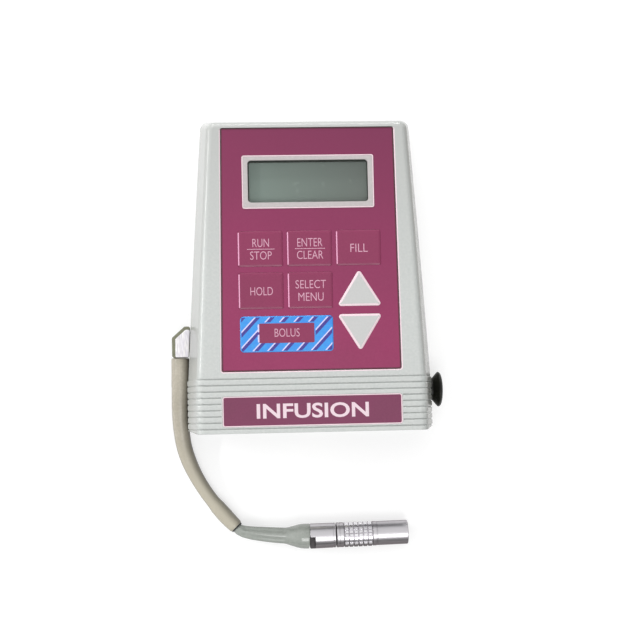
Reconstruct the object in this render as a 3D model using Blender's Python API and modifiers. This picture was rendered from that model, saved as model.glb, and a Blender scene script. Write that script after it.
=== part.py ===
"""An ambulatory infusion pump lying on its back, with its short accessory lead.

Frame: +Z out of the display, +Y to the pump's top end, +X to the right of the display. The origin
is the middle of the back face. Sizes are in millimetres, and MM turns them into Blender's metres.
Places are given as (x, y, z) with y counted from the foot, the end where a cassette clips on.
"""
import math

import bmesh
import bpy
from mathutils import Matrix, Vector

MM = 0.001

# The case: a clamshell, widest at its seam, whose front half slopes in on three sides.
LENGTH = 114.0
DEPTH = 28.0
SEAM = 14.0
SEAM_GAP = 0.2
WALL = 1.8
FOOT_HALF = 44.2
TOP_HALF = 38.2
SIDE_BOW = 0.2
SLOPE_FOOT = 3.6
SLOPE_TOP = 2.6
BACK_DRAFT = 0.3
CORNER = 3.0
EDGE = 2.0
BACK_EDGE = 1.0

# The ribbed band round the foot.
BAND = 19.6
RIB_PROUD = 0.4
GROOVES = 9
GROOVE_PITCH = 2.215
GROOVE_FIRST = 19.45
GROOVE_WIDTH = 0.5
GROOVE_DEPTH = 0.4

# Heights of the keypad's layers.
TRAY_Z = (24.2, 25.65)
CIRCUIT_Z = (25.8, 26.05)
SHEET_Z = (26.15, 26.45)
DOME_TOP = 26.7
OVERLAY_Z = (27.2, 27.7)
KEY_Z = (27.2, 27.75)
KEY_GAP = 0.12

# The overlay, a trapezoid, and what is let into it.
OVERLAY_Y = (22.2, 109.2)
OVERLAY_HALF = (31.9, 30.9)
KEY_WIDTH = 15.3
KEY_PITCH = 17.6
ROW_1 = (59.8, 71.7)
ROW_2 = (44.6, 56.8)
DOSE_Y = (28.8, 41.6)
DOSE_X = (-25.3, 7.9)
ARROW_HALF = 8.2
UP_Y = (44.8, 58.0)
DOWN_Y = (41.9, 28.5)
BEZEL_HALF = 23.7
BEZEL_Y = (80.2, 99.4)
GLASS_HALF = 21.6
GLASS_Y = (82.4, 97.6)
LABEL_HALF = 31.7
LABEL_Y = (2.8, 12.85)

# The pumping mechanism.
CAM_Y = 15.5
CAM_Z = 12.0
CAM_RADIUS = 4.2
CAM_THROW = 1.0
MODULE = 0.55
PRESSURE_ANGLE = math.radians(25)
BACKLASH = 0.12
BIG_TEETH = 25
SMALL_TEETH = 12
CENTRES = MODULE * (BIG_TEETH + SMALL_TEETH) / 2
IDLER_Y = CAM_Y + CENTRES
MOTOR_Y = IDLER_Y + CENTRES
GEAR_A = (23.3, 25.8)
GEAR_B = (26.2, 28.7)
SHAFT = 2.0
VALVE_X = 15.0
SLOT_Z = (7.7, 16.3)
FOLLOWER_SPRING_Z = 18.9

# The latch on the right side, and the port and lead on the left.
LATCH_Y = 14.65
LATCH_Z = 8.2
LATCH_SHAFT = 1.9
PORT_Y = 33.6
PORT_Z = 9.0
POSTS = [(-34.5, 23.0), (34.5, 23.0), (-34.5, 76.0), (34.5, 76.0)]
INSERT_Y = 66.0
DOOR_HALF = 26.0
DOOR_Y = (81.2, 113.3)
CORD_RADIUS = 2.6
CORD_LENGTH = 69.0
CONNECTOR_Y = -38.1
CONNECTOR_Z = 4.65
LEAD_ROUTE = [
    (-47.5, 26.9, 9.0), (-47.5, 22.0, 8.8), (-47.6, 16.0, 7.8), (-47.7, 10.0, 6.3),
    (-47.6, 4.5, 4.9), (-47.0, -0.5, 3.9), (-46.2, -5.1, 3.2), (-44.7, -9.7, 2.9),
    (-42.7, -14.3, 2.75), (-40.1, -19.0, 2.7), (-37.1, -23.5, 2.7), (-33.75, -27.8, 2.8),
    (-30.4, -31.6, 3.1), (-27.3, -34.7, 3.6), (-23.8, -36.6, 4.1), (-20.2, -37.4, 4.4), (-16.5, -37.8, 4.6),
    (-12.0, CONNECTOR_Y, CONNECTOR_Z), (-6.0, CONNECTOR_Y, CONNECTOR_Z), (-0.15, CONNECTOR_Y, CONNECTOR_Z),
]
BOOT_GAP = 0.8
BOOT_RADII = [
    (0.0, 2.1), (0.15, 2.3), (0.35, 2.8), (0.5, 3.15), (0.68, 3.2), (0.76, 3.6), (0.84, 4.3), (1.0, 4.45),
]

COLOURS = {
    "case": ((0.60, 0.63, 0.61), 0.55, 0.0),
    "panel": ((0.27, 0.065, 0.14), 0.35, 0.0),
    "dose_blue": ((0.05, 0.33, 0.83), 0.35, 0.0),
    "arrow_white": ((0.62, 0.65, 0.62), 0.4, 0.0),
    "bezel": ((0.60, 0.60, 0.58), 0.5, 0.0),
    "window": ((0.55, 0.60, 0.56), 0.08, 0.0),
    "display": ((0.17, 0.22, 0.19), 0.3, 0.0),
    "black": ((0.012, 0.012, 0.010), 0.4, 0.0),
    "rubber": ((0.03, 0.03, 0.03), 0.8, 0.0),
    "film": ((0.75, 0.72, 0.62), 0.4, 0.0),
    "board": ((0.02, 0.16, 0.06), 0.5, 0.0),
    "steel": ((0.55, 0.55, 0.54), 0.3, 1.0),
    "brass": ((0.70, 0.48, 0.18), 0.3, 1.0),
    "gear": ((0.80, 0.78, 0.70), 0.5, 0.0),
    "frame": ((0.15, 0.15, 0.16), 0.5, 0.0),
    "battery": ((0.10, 0.10, 0.11), 0.35, 0.0),
    "hood": ((0.62, 0.62, 0.56), 0.25, 0.0),
    "sleeve": ((0.43, 0.41, 0.33), 0.6, 0.0),
    "boot": ((0.32, 0.36, 0.31), 0.6, 0.0),
    "chrome": ((0.66, 0.66, 0.65), 0.25, 1.0),
}


# ---- helpers ---------------------------------------------------------------------------------

def at(x, y, z):
    """A place in metres from one given in millimetres with y counted from the foot."""
    return Vector((x, y - LENGTH / 2, z)) * MM


def fresh_collection(name):
    collection = bpy.data.collections.new(name)
    bpy.context.scene.collection.children.link(collection)
    return collection


def material(name):
    found = bpy.data.materials.get(name)
    if found:
        return found
    made = bpy.data.materials.new(name)
    made.use_nodes = True
    colour, roughness, metallic = COLOURS[name]
    shader = made.node_tree.nodes["Principled BSDF"]
    shader.inputs["Base Color"].default_value = (*colour, 1.0)
    shader.inputs["Roughness"].default_value = roughness
    shader.inputs["Metallic"].default_value = metallic
    made.diffuse_color = (*colour, 1.0)
    return made


def place(name, data, colour, location=(0.0, LENGTH / 2, 0.0), turn=None):
    """Adds a part. Its place is the middle of the back face unless another is given."""
    part = bpy.data.objects.new(name, data)
    part.location = at(*location)
    if turn:
        part.rotation_euler = turn
    data.materials.append(material(colour))
    PARTS.objects.link(part)
    return part


def tool(name, data, location=(0.0, LENGTH / 2, 0.0), turn=None):
    """Adds a shape that only cuts or joins other shapes."""
    shape = bpy.data.objects.new(name, data)
    shape.location = at(*location)
    if turn:
        shape.rotation_euler = turn
    shape.hide_render = True
    shape.display_type = "WIRE"
    TOOLS.objects.link(shape)
    return shape


def boolean(target, other, operation):
    change = target.modifiers.new(other.name, "BOOLEAN")
    change.operation = operation
    change.solver = "EXACT"
    change.object = other


def cut(target, *others):
    for other in others:
        boolean(target, other, "DIFFERENCE")


def unite(target, *others):
    for other in others:
        boolean(target, other, "UNION")


def finished(name, shape):
    """A mesh from a bmesh, with its faces pointing out."""
    bmesh.ops.recalc_face_normals(shape, faces=shape.faces)
    mesh = bpy.data.meshes.new(name)
    shape.to_mesh(mesh)
    shape.free()
    return mesh


def boxes_mesh(name, spans):
    """One mesh of boxes, each given by its low and high corner, around the origin of `at`."""
    shape = bmesh.new()
    for low, high in spans:
        low, high = at(*low), at(*high)
        made = bmesh.ops.create_cube(shape, size=1.0)
        bmesh.ops.scale(shape, vec=high - low, verts=made["verts"])
        bmesh.ops.translate(shape, vec=(low + high) / 2, verts=made["verts"])
    return finished(name, shape)


def box_tool(name, *spans):
    return tool(name, boxes_mesh(name, spans))


def block(name, low, high, colour, bevel=0.0):
    """A box part with its origin at its own centre."""
    centre = (Vector(low) + Vector(high)) / 2
    half = (Vector(high) - Vector(low)) / 2
    middle = Vector((0.0, LENGTH / 2, 0.0))
    part = place(name, boxes_mesh(name, [(middle - half, middle + half)]), colour, centre)
    if bevel:
        rounding = part.modifiers.new("Bevel", "BEVEL")
        rounding.width = bevel * MM
        rounding.segments = 2
    return part


QUARTER = math.pi / 2
TURNS = {"Z": (0.0, 0.0, 0.0), "Y": (QUARTER, 0.0, 0.0), "X": (QUARTER, 0.0, QUARTER)}


def rod_mesh(name, radius, length, sides):
    """A cylinder along Z, from z = 0 up."""
    shape = bmesh.new()
    bmesh.ops.create_cone(
        shape, cap_ends=True, segments=sides, radius1=radius * MM, radius2=radius * MM, depth=length * MM
    )
    bmesh.ops.translate(shape, vec=(0.0, 0.0, length / 2 * MM), verts=shape.verts)
    return finished(name, shape)


def rod_tool(name, radius, start, length, along, sides=24):
    """A cylinder tool that starts at `start` and runs along +X or +Z."""
    return tool(name, rod_mesh(name, radius, length, sides), start, TURNS[along])


def turned(name, profile, start, along, colour, steps=24, closed=False):
    """A part turned about +X or +Z through `start`, from a profile of (radius, distance along).

    The profile runs down its outer side, from the far end to the near end.
    """
    mesh = bpy.data.meshes.new(name)
    points = [(radius * MM, 0.0, along_axis * MM) for radius, along_axis in profile]
    edges = [(i, i + 1) for i in range(len(points) - 1)]
    if closed:
        edges.append((len(points) - 1, 0))
    mesh.from_pydata(points, edges, [])
    part = place(name, mesh, colour, start, TURNS[along])
    turn = part.modifiers.new("Turn", "SCREW")
    turn.axis = "Z"
    turn.steps = steps
    turn.render_steps = steps
    turn.use_merge_vertices = True
    turn.merge_threshold = 0.00001
    turn.use_smooth_shade = False
    return part


def rounded(points, radius, steps=3):
    """The points of an outline with each corner turned into an arc."""
    made = []
    for i, corner in enumerate(points):
        corner = Vector(corner)
        before = (Vector(points[i - 1]) - corner).normalized()
        after = (Vector(points[(i + 1) % len(points)]) - corner).normalized()
        half = before.angle(after) / 2
        centre = corner + (before + after).normalized() * (radius / math.sin(half))
        first = corner + before * (radius / math.tan(half)) - centre
        last = corner + after * (radius / math.tan(half)) - centre
        sweep = -first.angle_signed(last)
        made += [centre + Matrix.Rotation(sweep * k / steps, 2) @ first for k in range(steps + 1)]
    return made


def rectangle(x, y, grow=0.0):
    """The corners of a rectangle from its x range and y range, made larger all round by `grow`."""
    return [
        (x[0] - grow, y[0] - grow), (x[1] + grow, y[0] - grow),
        (x[1] + grow, y[1] + grow), (x[0] - grow, y[1] + grow),
    ]


def circle(radius, centre=(0.0, 0.0), sides=24):
    angles = [2 * math.pi * i / sides for i in range(sides)]
    return [(centre[0] + radius * math.cos(a), centre[1] + radius * math.sin(a)) for a in angles]


def plate(name, outlines, thickness, colour, location, facing="Z"):
    """A flat part. The first outline is its edge and the others are its holes, all about `location`."""
    curve = bpy.data.curves.new(name, "CURVE")
    curve.dimensions = "2D"
    curve.fill_mode = "BOTH"
    curve.extrude = thickness / 2 * MM
    for outline in outlines:
        spline = curve.splines.new("POLY")
        spline.points.add(len(outline) - 1)
        for point, (u, v) in zip(spline.points, outline):
            point.co = (u * MM, v * MM, 0.0, 1.0)
        spline.use_cyclic_u = True
    return place(name, curve, colour, location, TURNS[facing])


def front_plate(name, outlines, heights, colour):
    """A flat part of the front face, whose outlines are given as places on the case."""
    middle = LENGTH / 2
    moved = [[(x, y - middle) for x, y in outline] for outline in outlines]
    return plate(name, moved, heights[1] - heights[0], colour, (0.0, middle, sum(heights) / 2))


def as_mesh(part):
    """Turns a curve part into a mesh part, so that it can be cut and joined."""
    bpy.context.view_layer.update()
    evaluated = part.evaluated_get(bpy.context.evaluated_depsgraph_get())
    mesh = bpy.data.meshes.new_from_object(evaluated)
    shape = bmesh.new()
    shape.from_mesh(mesh)
    bmesh.ops.remove_doubles(shape, verts=shape.verts, dist=0.001 * MM)
    shape.to_mesh(mesh)
    shape.free()
    name, home = part.name, part.users_collection[0]
    solid = bpy.data.objects.new(name + "_solid", mesh)
    solid.matrix_world = part.matrix_world.copy()
    solid.hide_render = part.hide_render
    solid.display_type = part.display_type
    home.objects.link(solid)
    bpy.data.objects.remove(part)
    solid.name = name
    return solid


def as_tool(part):
    """Turns a part into a tool."""
    PARTS.objects.unlink(part)
    TOOLS.objects.link(part)
    part.hide_render = True
    part.display_type = "WIRE"
    return part


def tube(name, points, radii, colour, sides_level=2):
    """A round wire or cable through `points`, which are places on the case."""
    curve = bpy.data.curves.new(name, "CURVE")
    curve.dimensions = "3D"
    curve.bevel_depth = radii[0] * MM
    curve.bevel_resolution = sides_level
    curve.use_fill_caps = True
    spline = curve.splines.new("POLY")
    spline.points.add(len(points) - 1)
    for point, place_on_case, radius in zip(spline.points, points, radii):
        point.co = (*(at(*place_on_case) - at(0.0, LENGTH / 2, 0.0)), 1.0)
        point.radius = radius / radii[0]
    return place(name, curve, colour)


def coil(name, start, along, radius, length, turns, colour="steel", wire=0.25, per_turn=8):
    """A compression spring that starts at `start` and runs along +X or +Y."""
    count = turns * per_turn
    points = []
    for i in range(count + 1):
        angle = 2 * math.pi * i / per_turn
        side, up = radius * math.cos(angle), radius * math.sin(angle)
        reach = wire + (length - 2 * wire) * i / count
        offset = (reach, side, up) if along == "X" else (side, reach, up)
        points.append(Vector(start) + Vector(offset))
    return tube(name, points, [wire] * len(points), colour, sides_level=0)


def loft(rings):
    """A closed mesh through rings of points that all have the same number of points."""
    shape = bmesh.new()
    rows = [[shape.verts.new(at(*point)) for point in ring] for ring in rings]
    count = len(rows[0])
    for low, high in zip(rows, rows[1:]):
        for i in range(count):
            j = (i + 1) % count
            shape.faces.new((low[i], low[j], high[j], high[i]))
    shape.faces.new(reversed(rows[0]))
    shape.faces.new(rows[-1])
    return finished("loft", shape)


# ---- the case --------------------------------------------------------------------------------

def half_width(y, z):
    """Half the case's width at a height along it and a height above its back."""
    t = max(0.0, (y - BAND) / (LENGTH - BAND))
    widest = FOOT_HALF + (TOP_HALF - FOOT_HALF) * t + SIDE_BOW * math.sin(math.pi * min(t, 1.0))
    if z < SEAM:
        return widest - BACK_DRAFT * (SEAM - z) / SEAM
    return widest - (SLOPE_FOOT + (SLOPE_TOP - SLOPE_FOOT) * t) * (z - SEAM) / (DEPTH - SEAM)


def top_end(z):
    """Where the case ends at the top, at a height above its back."""
    if z < SEAM:
        return LENGTH - BACK_DRAFT * (SEAM - z) / SEAM
    return LENGTH - SLOPE_TOP * (z - SEAM) / (DEPTH - SEAM)


def outline(z, inset=0.0, foot=0.0, band=False):
    """The case's outline at one height: up the right side, round the top and down the left side."""
    radius = max(CORNER - inset, 0.4)
    end = top_end(z) - inset
    stations = [BAND + (end - radius - BAND) * k / 4 for k in range(1, 5)]
    right = [(half_width(foot, z) - inset, foot), (half_width(BAND, z) - inset, BAND + RIB_PROUD)]
    if band:
        proud = half_width(foot, z) - inset + RIB_PROUD
        right = [(proud, foot), (proud, BAND), (proud - RIB_PROUD, BAND + RIB_PROUD)]
    right += [(half_width(y, z) - inset, y) for y in stations[:-1]]
    centre = (half_width(stations[-1], z) - inset - radius, end - radius)
    right += [
        (centre[0] + radius * math.cos(a), centre[1] + radius * math.sin(a))
        for a in (math.radians(18 * k) for k in range(6))
    ]
    left = [(-x, y) for x, y in reversed(right)]
    return [(x, y, z) for x, y in right + left]


def rounding(radius, steps=3):
    """How far up and in a quarter-round edge goes, from its start to its end."""
    angles = [math.pi / 2 * k / steps for k in range(steps + 1)]
    return [(radius * math.sin(a), radius * (1 - math.cos(a))) for a in angles]


def front_levels():
    return [(DEPTH - EDGE + up, inset) for up, inset in rounding(EDGE)]


def grooves(name, heights, kept):
    """The cutter for the band's grooves: slabs right across, less the shape that has to stay."""
    slabs = []
    for i in range(GROOVES):
        y = GROOVE_FIRST - GROOVE_PITCH * i
        slabs.append(((-50.0, y - GROOVE_WIDTH / 2, heights[0]), (50.0, y + GROOVE_WIDTH / 2, heights[1])))
    cutter = box_tool(name, *slabs)
    cut(cutter, *kept)
    return cutter


def front_housing():
    levels = [(SEAM + SEAM_GAP / 2, 0.0)] + front_levels()
    housing = place("front_housing", loft([outline(z, inset, band=True) for z, inset in levels]), "case")
    hollow = [outline(z, WALL, foot=-2.0) for z in (SEAM - 1.0, SEAM, DEPTH - WALL)]
    cut(housing, tool("front_hollow", loft(hollow)))
    tray = box_tool("tray", ((-33.5, 20.5, TRAY_Z[0]), (33.5, 110.4, DEPTH - 1.0)))
    unite(housing, tray)
    for i, (x, y) in enumerate(POSTS):
        unite(housing, rod_tool(f"post_{i}", 2.8, (x, y, 5.0), 21.6, "Z", sides=16))
    for i, (x, y) in enumerate(POSTS):
        cut(housing, rod_tool(f"post_hole_{i}", 1.3, (x, y, 4.0), 10.0, "Z", sides=12))
    recess = overlay_outline(grow=0.2)
    cut(housing, solid_tool("overlay_recess", recess, (TRAY_Z[1], DEPTH + 1.0)))
    cut(housing, box_tool("display_hole", ((-22.6, 81.6, 23.0), (22.6, 98.2, DEPTH))))
    cut(housing, solid_tool("label_recess", label_outline(grow=0.15), (DEPTH - 0.55, DEPTH + 1.0)))
    floor = [(12.0, 0.05), (DEPTH - EDGE, 0.15), (DEPTH - 0.9, 0.7), (DEPTH - GROOVE_DEPTH, EDGE + 0.2)]
    kept = tool("front_groove_floor", loft([outline(z, inset, foot=-3.0) for z, inset in floor]))
    pad = box_tool("label_pad", ((-33.0, 2.2, 20.0), (33.0, 13.5, 40.0)))
    cut(housing, grooves("front_grooves", (SEAM - 0.5, DEPTH + 1.0), [kept, pad]))


def rear_housing():
    edge = [(BACK_EDGE - up, inset) for up, inset in reversed(rounding(BACK_EDGE, 2))]
    levels = edge + [(SEAM - SEAM_GAP / 2, 0.0)]
    housing = place("rear_housing", loft([outline(z, inset, band=True) for z, inset in levels]), "case")
    hollow = [outline(z, WALL, foot=-2.0) for z in (WALL, SEAM + 1.0)]
    cut(housing, tool("rear_hollow", loft(hollow)))
    for i, (x, y) in enumerate(POSTS):
        unite(housing, rod_tool(f"boss_{i}", 3.4, (x, y, 1.5), 3.1, "Z", sides=16))
    for i, (x, y) in enumerate(POSTS):
        cut(housing, rod_tool(f"counterbore_{i}", 2.6, (x, y, -1.0), 3.2, "Z", sides=16))
        cut(housing, rod_tool(f"screw_hole_{i}", 1.4, (x, y, 1.0), 5.0, "Z", sides=12))
    unite(housing, rod_tool("insert_boss", 4.2, (0.0, INSERT_Y, 1.5), 4.5, "Z"))
    cut(housing, rod_tool("insert_hole", 2.8, (0.0, INSERT_Y, -1.0), 8.0, "Z", sides=20))
    unite(housing, box_tool("spring_seat", ((31.5, 10.5, 1.5), (33.0, 18.8, 13.0))))
    cut(housing, rod_tool("shaft_hole", LATCH_SHAFT + 0.3, (30.0, LATCH_Y, LATCH_Z), 5.0, "X", sides=20))
    unite(housing, box_tool("battery_wall", ((-27.0, 79.2, 1.5), (27.0, 80.5, 12.0))))
    cut(housing, box_tool("door_way", ((-DOOR_HALF - 0.2, 81.0, -1.0), (DOOR_HALF + 0.2, 116.0, 1.0))))
    cut(housing, box_tool("door_rails", ((-DOOR_HALF - 1.0, 81.0, 0.9), (DOOR_HALF + 1.0, 116.0, 1.95))))
    cut(housing, rod_tool("port_hole", 4.3, (-50.0, PORT_Y, PORT_Z), 10.0, "X"))
    cut(housing, rod_tool("knob_hole", 4.3, (40.0, LATCH_Y, LATCH_Z), 10.0, "X"))
    kept = [outline(z, 0.05, foot=-3.0) for z in (-3.0, SEAM + 3.0)]
    cut(housing, grooves("rear_grooves", (-1.0, SEAM + 0.5), [tool("rear_groove_floor", loft(kept))]))


def housing_seal():
    """The sealing strip that closes the seam from inside, round the two sides and the top."""
    rings = []
    for z in (SEAM - 0.6, SEAM + 0.9):
        outside = [(x, y, z) for x, y, _ in outline(SEAM, WALL + 0.45, foot=5.2)]
        inside = [(x, y, z) for x, y, _ in outline(SEAM, WALL + 1.15, foot=5.2)]
        rings.append(outside + inside[::-1])
    place("housing_seal", loft(rings), "rubber")


def solid_tool(name, points, heights):
    """A flat tool over an outline on the front face."""
    return as_tool(as_mesh(front_plate(name, [points], heights, "case")))


def base_plate():
    """The cassette face, with the slots for the expulsor, the valves, the latch and the hinge pins."""
    edge = [(-41.9, 2.1), (41.9, 2.1), (41.9, 13.0), (39.1, 25.9), (-39.1, 25.9), (-41.9, 13.0)]
    part = as_mesh(plate("base_plate", [edge], 4.0, "frame", (0.0, 2.5, 0.0), "Y"))
    slots = [((-9.3, -1.0, SLOT_Z[0]), (9.3, 6.0, SLOT_Z[1]))]
    for x in (-VALVE_X, VALVE_X):
        slots.append(((x - 1.8, -1.0, SLOT_Z[0]), (x + 1.8, 6.0, SLOT_Z[1])))
    slots.append(((36.0, -1.0, 4.0), (40.8, 6.0, 13.0)))
    for low, high in ((4.5, 9.5), (16.0, 21.0)):
        slots.append(((-39.6, -1.0, low), (-35.4, 3.9, high)))
    cut(part, box_tool("plate_slots", *slots))
    for low in (3.2, 14.7):
        cut(part, rod_tool(f"pin_hole_{low:.0f}", 1.0, (-37.5, 2.5, low), 7.8, "Z", sides=16))
    for name, low in (("hinge_pin_rear", 3.4), ("hinge_pin_front", 14.9)):
        rod = place(name, rod_mesh(name, 0.8, 7.4, 12), "steel", (-37.5, 2.5, low))
        rod.data.shade_smooth()


# ---- the front face --------------------------------------------------------------------------

def overlay_outline(grow=0.0):
    low, high = OVERLAY_Y
    foot, top = OVERLAY_HALF[0] + grow, OVERLAY_HALF[1] + grow
    return rounded([(-foot, low - grow), (foot, low - grow), (top, high + grow), (-top, high + grow)], 0.8)


def label_outline(grow=0.0):
    return rounded(rectangle((-LABEL_HALF, LABEL_HALF), LABEL_Y, grow), 1.0)


def arrow_outline(heights, grow=0.0):
    """A triangle key with its point at the second of its two heights."""
    base, point = heights
    out = math.copysign(grow, point - base)
    half = ARROW_HALF + 1.8 * grow
    corners = [(-half, base - out), (half, base - out), (0.0, point + 2 * out)]
    if point < base:
        corners.reverse()
    return rounded([(x + KEY_PITCH, y) for x, y in corners], 0.9)


def key_outlines(grow=0.0):
    """The outline of every key, by name."""
    found = {}
    columns = {"left": -KEY_PITCH, "middle": 0.0, "right": KEY_PITCH}
    for name, column, row in (
        ("key_stop_run", "left", ROW_1), ("key_enter", "middle", ROW_1), ("key_fill", "right", ROW_1),
        ("key_lock", "left", ROW_2), ("key_mode", "middle", ROW_2),
    ):
        x = columns[column]
        found[name] = rounded(rectangle((x - KEY_WIDTH / 2, x + KEY_WIDTH / 2), row, grow), 0.6)
    found["key_up"] = arrow_outline(UP_Y, grow)
    found["key_down"] = arrow_outline(DOWN_Y, grow)
    found["key_dose"] = rounded(rectangle(DOSE_X, DOSE_Y, grow), 0.6)
    return found


def bezel_outline(grow=0.0):
    return rounded(rectangle((-BEZEL_HALF, BEZEL_HALF), BEZEL_Y, grow), 0.8)


def front_face():
    holes = [bezel_outline(0.12)] + list(key_outlines(KEY_GAP).values())
    front_plate("keypad_overlay", [overlay_outline()] + holes, OVERLAY_Z, "panel")
    colours = {"key_dose": "dose_blue", "key_up": "arrow_white", "key_down": "arrow_white"}
    for name, points in key_outlines().items():
        front_plate(name, [points], KEY_Z, colours.get(name, "panel"))
    glass = rounded(rectangle((-GLASS_HALF, GLASS_HALF), GLASS_Y), 1.2)
    front_plate("display_bezel", [bezel_outline(), glass], (26.85, 27.85), "bezel")
    front_plate("name_label", [label_outline()], (DEPTH - 0.45, DEPTH - 0.05), "panel")
    block("display_window", (-23.4, 80.7, 25.8), (23.4, 99.0, 26.7), "window")
    block("keypad_circuit", (-30.5, 24.5, CIRCUIT_Z[0]), (30.5, 76.0, CIRCUIT_Z[1]), "film")
    sheet = block("dome_sheet", (-30.5, 24.5, SHEET_Z[0]), (30.5, 76.0, SHEET_Z[1]), "film")
    for name, points in key_outlines().items():
        x = sum(p[0] for p in points) / len(points)
        y = sum(p[1] for p in points) / len(points)
        shape = bmesh.new()
        height = DOME_TOP - SHEET_Z[0] - 0.1
        bmesh.ops.create_cone(
            shape, cap_ends=True, segments=12, radius1=3.5 * MM, radius2=2.0 * MM, depth=height * MM
        )
        dome = tool(f"dome_{name}", finished("dome", shape), (x, y, DOME_TOP - height / 2))
        unite(sheet, dome)


# ---- electronics and battery -----------------------------------------------------------------

def electronics():
    board = block("control_board", (-31.0, 24.0, 20.5), (31.0, 107.0, 21.6), "board")
    chips = [
        ((-8.0, 48.0, 21.3), (8.0, 64.0, 23.2)), ((-25.0, 50.0, 21.3), (-13.0, 60.0, 22.9)),
        ((13.0, 50.0, 21.3), (24.0, 58.0, 22.9)), ((-24.0, 30.0, 21.3), (-20.0, 42.0, 23.4)),
    ]
    unite(board, box_tool("chips", *chips))
    block("display_panel", (-25.0, 77.6, 22.7), (25.0, 102.2, 24.0), "display")
    window = rectangle((-25.3, 25.3), (77.3, 102.5))
    front_plate("display_holder", [rectangle((-27.5, 27.5), (75.6, 104.2)), window], (21.9, 24.0), "frame")
    block("display_strip", (-22.0, 78.2, 21.8), (22.0, 80.2, 22.5), "rubber")
    turned("buzzer", [(0.0, 2.0), (6.0, 2.0), (6.0, 0.0), (0.0, 0.0)], (20.0, 36.0, 21.9), "Z", "black")


def battery():
    cell = block("battery", (-24.5, 82.3, 2.3), (21.6, 108.8, 19.8), "battery", bevel=1.2)
    for i, y in enumerate((89.2, 101.9)):
        unite(cell, rod_tool(f"terminal_{i}", 3.0, (20.0, y, 11.0), 4.2, "X", sides=12))
    block("battery_connector", (24.6, 84.0, 3.0), (26.0, 107.0, 19.0), "black")
    low, high = DOOR_Y
    door = block("battery_door", (-DOOR_HALF, low, 0.2), (DOOR_HALF, high, 0.85), "case")
    unite(door, box_tool("door_tongues", ((-DOOR_HALF - 0.8, low, 1.1), (DOOR_HALF + 0.8, high, 1.7))))
    core = DOOR_HALF - 0.5
    unite(door, box_tool("door_core", ((-core, low + 0.5, 0.5), (core, high - 0.5, 1.5))))


# ---- mechanism -------------------------------------------------------------------------------

def involute(angle):
    return math.tan(angle) - angle


def gear_outline(teeth, offset_steps=0.0):
    """A spur gear's outline about its centre, with a tooth at +u, or a gap there if offset by 0.5."""
    pitch = MODULE * teeth / 2
    base = pitch * math.cos(PRESSURE_ANGLE)
    tip = pitch + 0.9 * MODULE
    root = pitch - 1.15 * MODULE
    at_pitch = math.pi / (2 * teeth) - BACKLASH / 2 / (2 * pitch)

    def half_angle(radius):
        return at_pitch + involute(PRESSURE_ANGLE) - involute(math.acos(min(1.0, base / max(radius, base))))

    flank = [root, (root + tip) / 2, tip]
    points = []
    for tooth in range(teeth):
        centre = 2 * math.pi * (tooth + offset_steps) / teeth
        sides = [(r, centre - half_angle(r)) for r in flank]
        sides += [(r, centre + half_angle(r)) for r in reversed(flank)]
        points += [(r * math.cos(a), r * math.sin(a)) for r, a in sides]
    return points


def gear(name, teeth, span, bore, y, offset=0.0):
    """A spur gear along X that fills `span`, with its centre on the gear train's line."""
    middle = (span[0] + span[1]) / 2
    outlines = [gear_outline(teeth, offset)]
    if bore:
        outlines.append(circle(bore, sides=16))
    return as_mesh(plate(name, outlines, span[1] - span[0], "gear", (middle, y, CAM_Z), "X"))


def gear_train():
    gear("cam_gear", BIG_TEETH, GEAR_B, SHAFT + 0.15, CAM_Y)
    idler = gear("idler_gear", BIG_TEETH, GEAR_A, 1.15, IDLER_Y)
    small = gear("idler_small_gear", SMALL_TEETH, (GEAR_A[1] - 0.3, GEAR_B[1]), 1.15, IDLER_Y, 0.5)
    unite(idler, as_tool(small))
    pinion = gear("motor_pinion", SMALL_TEETH, GEAR_A, 0.0, MOTOR_Y, 0.5)
    unite(pinion, rod_tool("motor_shaft", 0.9, (17.5, MOTOR_Y, CAM_Z), 8.7, "X", sides=12))
    place("idler_pin", rod_mesh("idler_pin", 1.0, 8.8, 12), "steel", (20.5, IDLER_Y, CAM_Z), TURNS["X"])
    motor = [
        (0.0, 22.5), (1.2, 22.5), (1.2, 28.2), (2.5, 28.2), (2.5, 26.9), (7.5, 26.9), (7.5, 0.0), (0.0, 0.0),
    ]
    turned("motor", motor, (-6.0, MOTOR_Y, CAM_Z), "X", "steel")


def camshaft():
    """The shaft with its three round cams, each set off the shaft's line at its own angle."""
    cams = [(-VALVE_X, 1.5, 90.0), (0.0, 3.5, 210.0), (VALVE_X, 1.5, 330.0)]
    sections = [(-23.5, SHAFT, 0.0, 0.0)]
    for x, half, angle in cams:
        sections += [
            (x - half, SHAFT, 0.0, 0.0), (x - half, CAM_RADIUS, CAM_THROW, angle),
            (x + half, CAM_RADIUS, CAM_THROW, angle), (x + half, SHAFT, 0.0, 0.0),
        ]
    sections.append((29.5, SHAFT, 0.0, 0.0))
    rings = []
    for x, radius, throw, angle in sections:
        y = throw * math.cos(math.radians(angle))
        z = throw * math.sin(math.radians(angle))
        rings.append([(x, LENGTH / 2 + v, w) for v, w in circle(radius, (y, z), 16)])
    place("camshaft", loft(rings), "steel", (0.0, CAM_Y, CAM_Z))
    bearing = [(SHAFT + 0.1, 1.8), (3.0, 1.8), (3.0, 0.0), (SHAFT + 0.1, 0.0)]
    for name, x in (("camshaft_bearing_left", -22.9), ("camshaft_bearing_right", 21.1)):
        turned(name, bearing, (x, CAM_Y, CAM_Z), "X", "brass", steps=16, closed=True)


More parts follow.
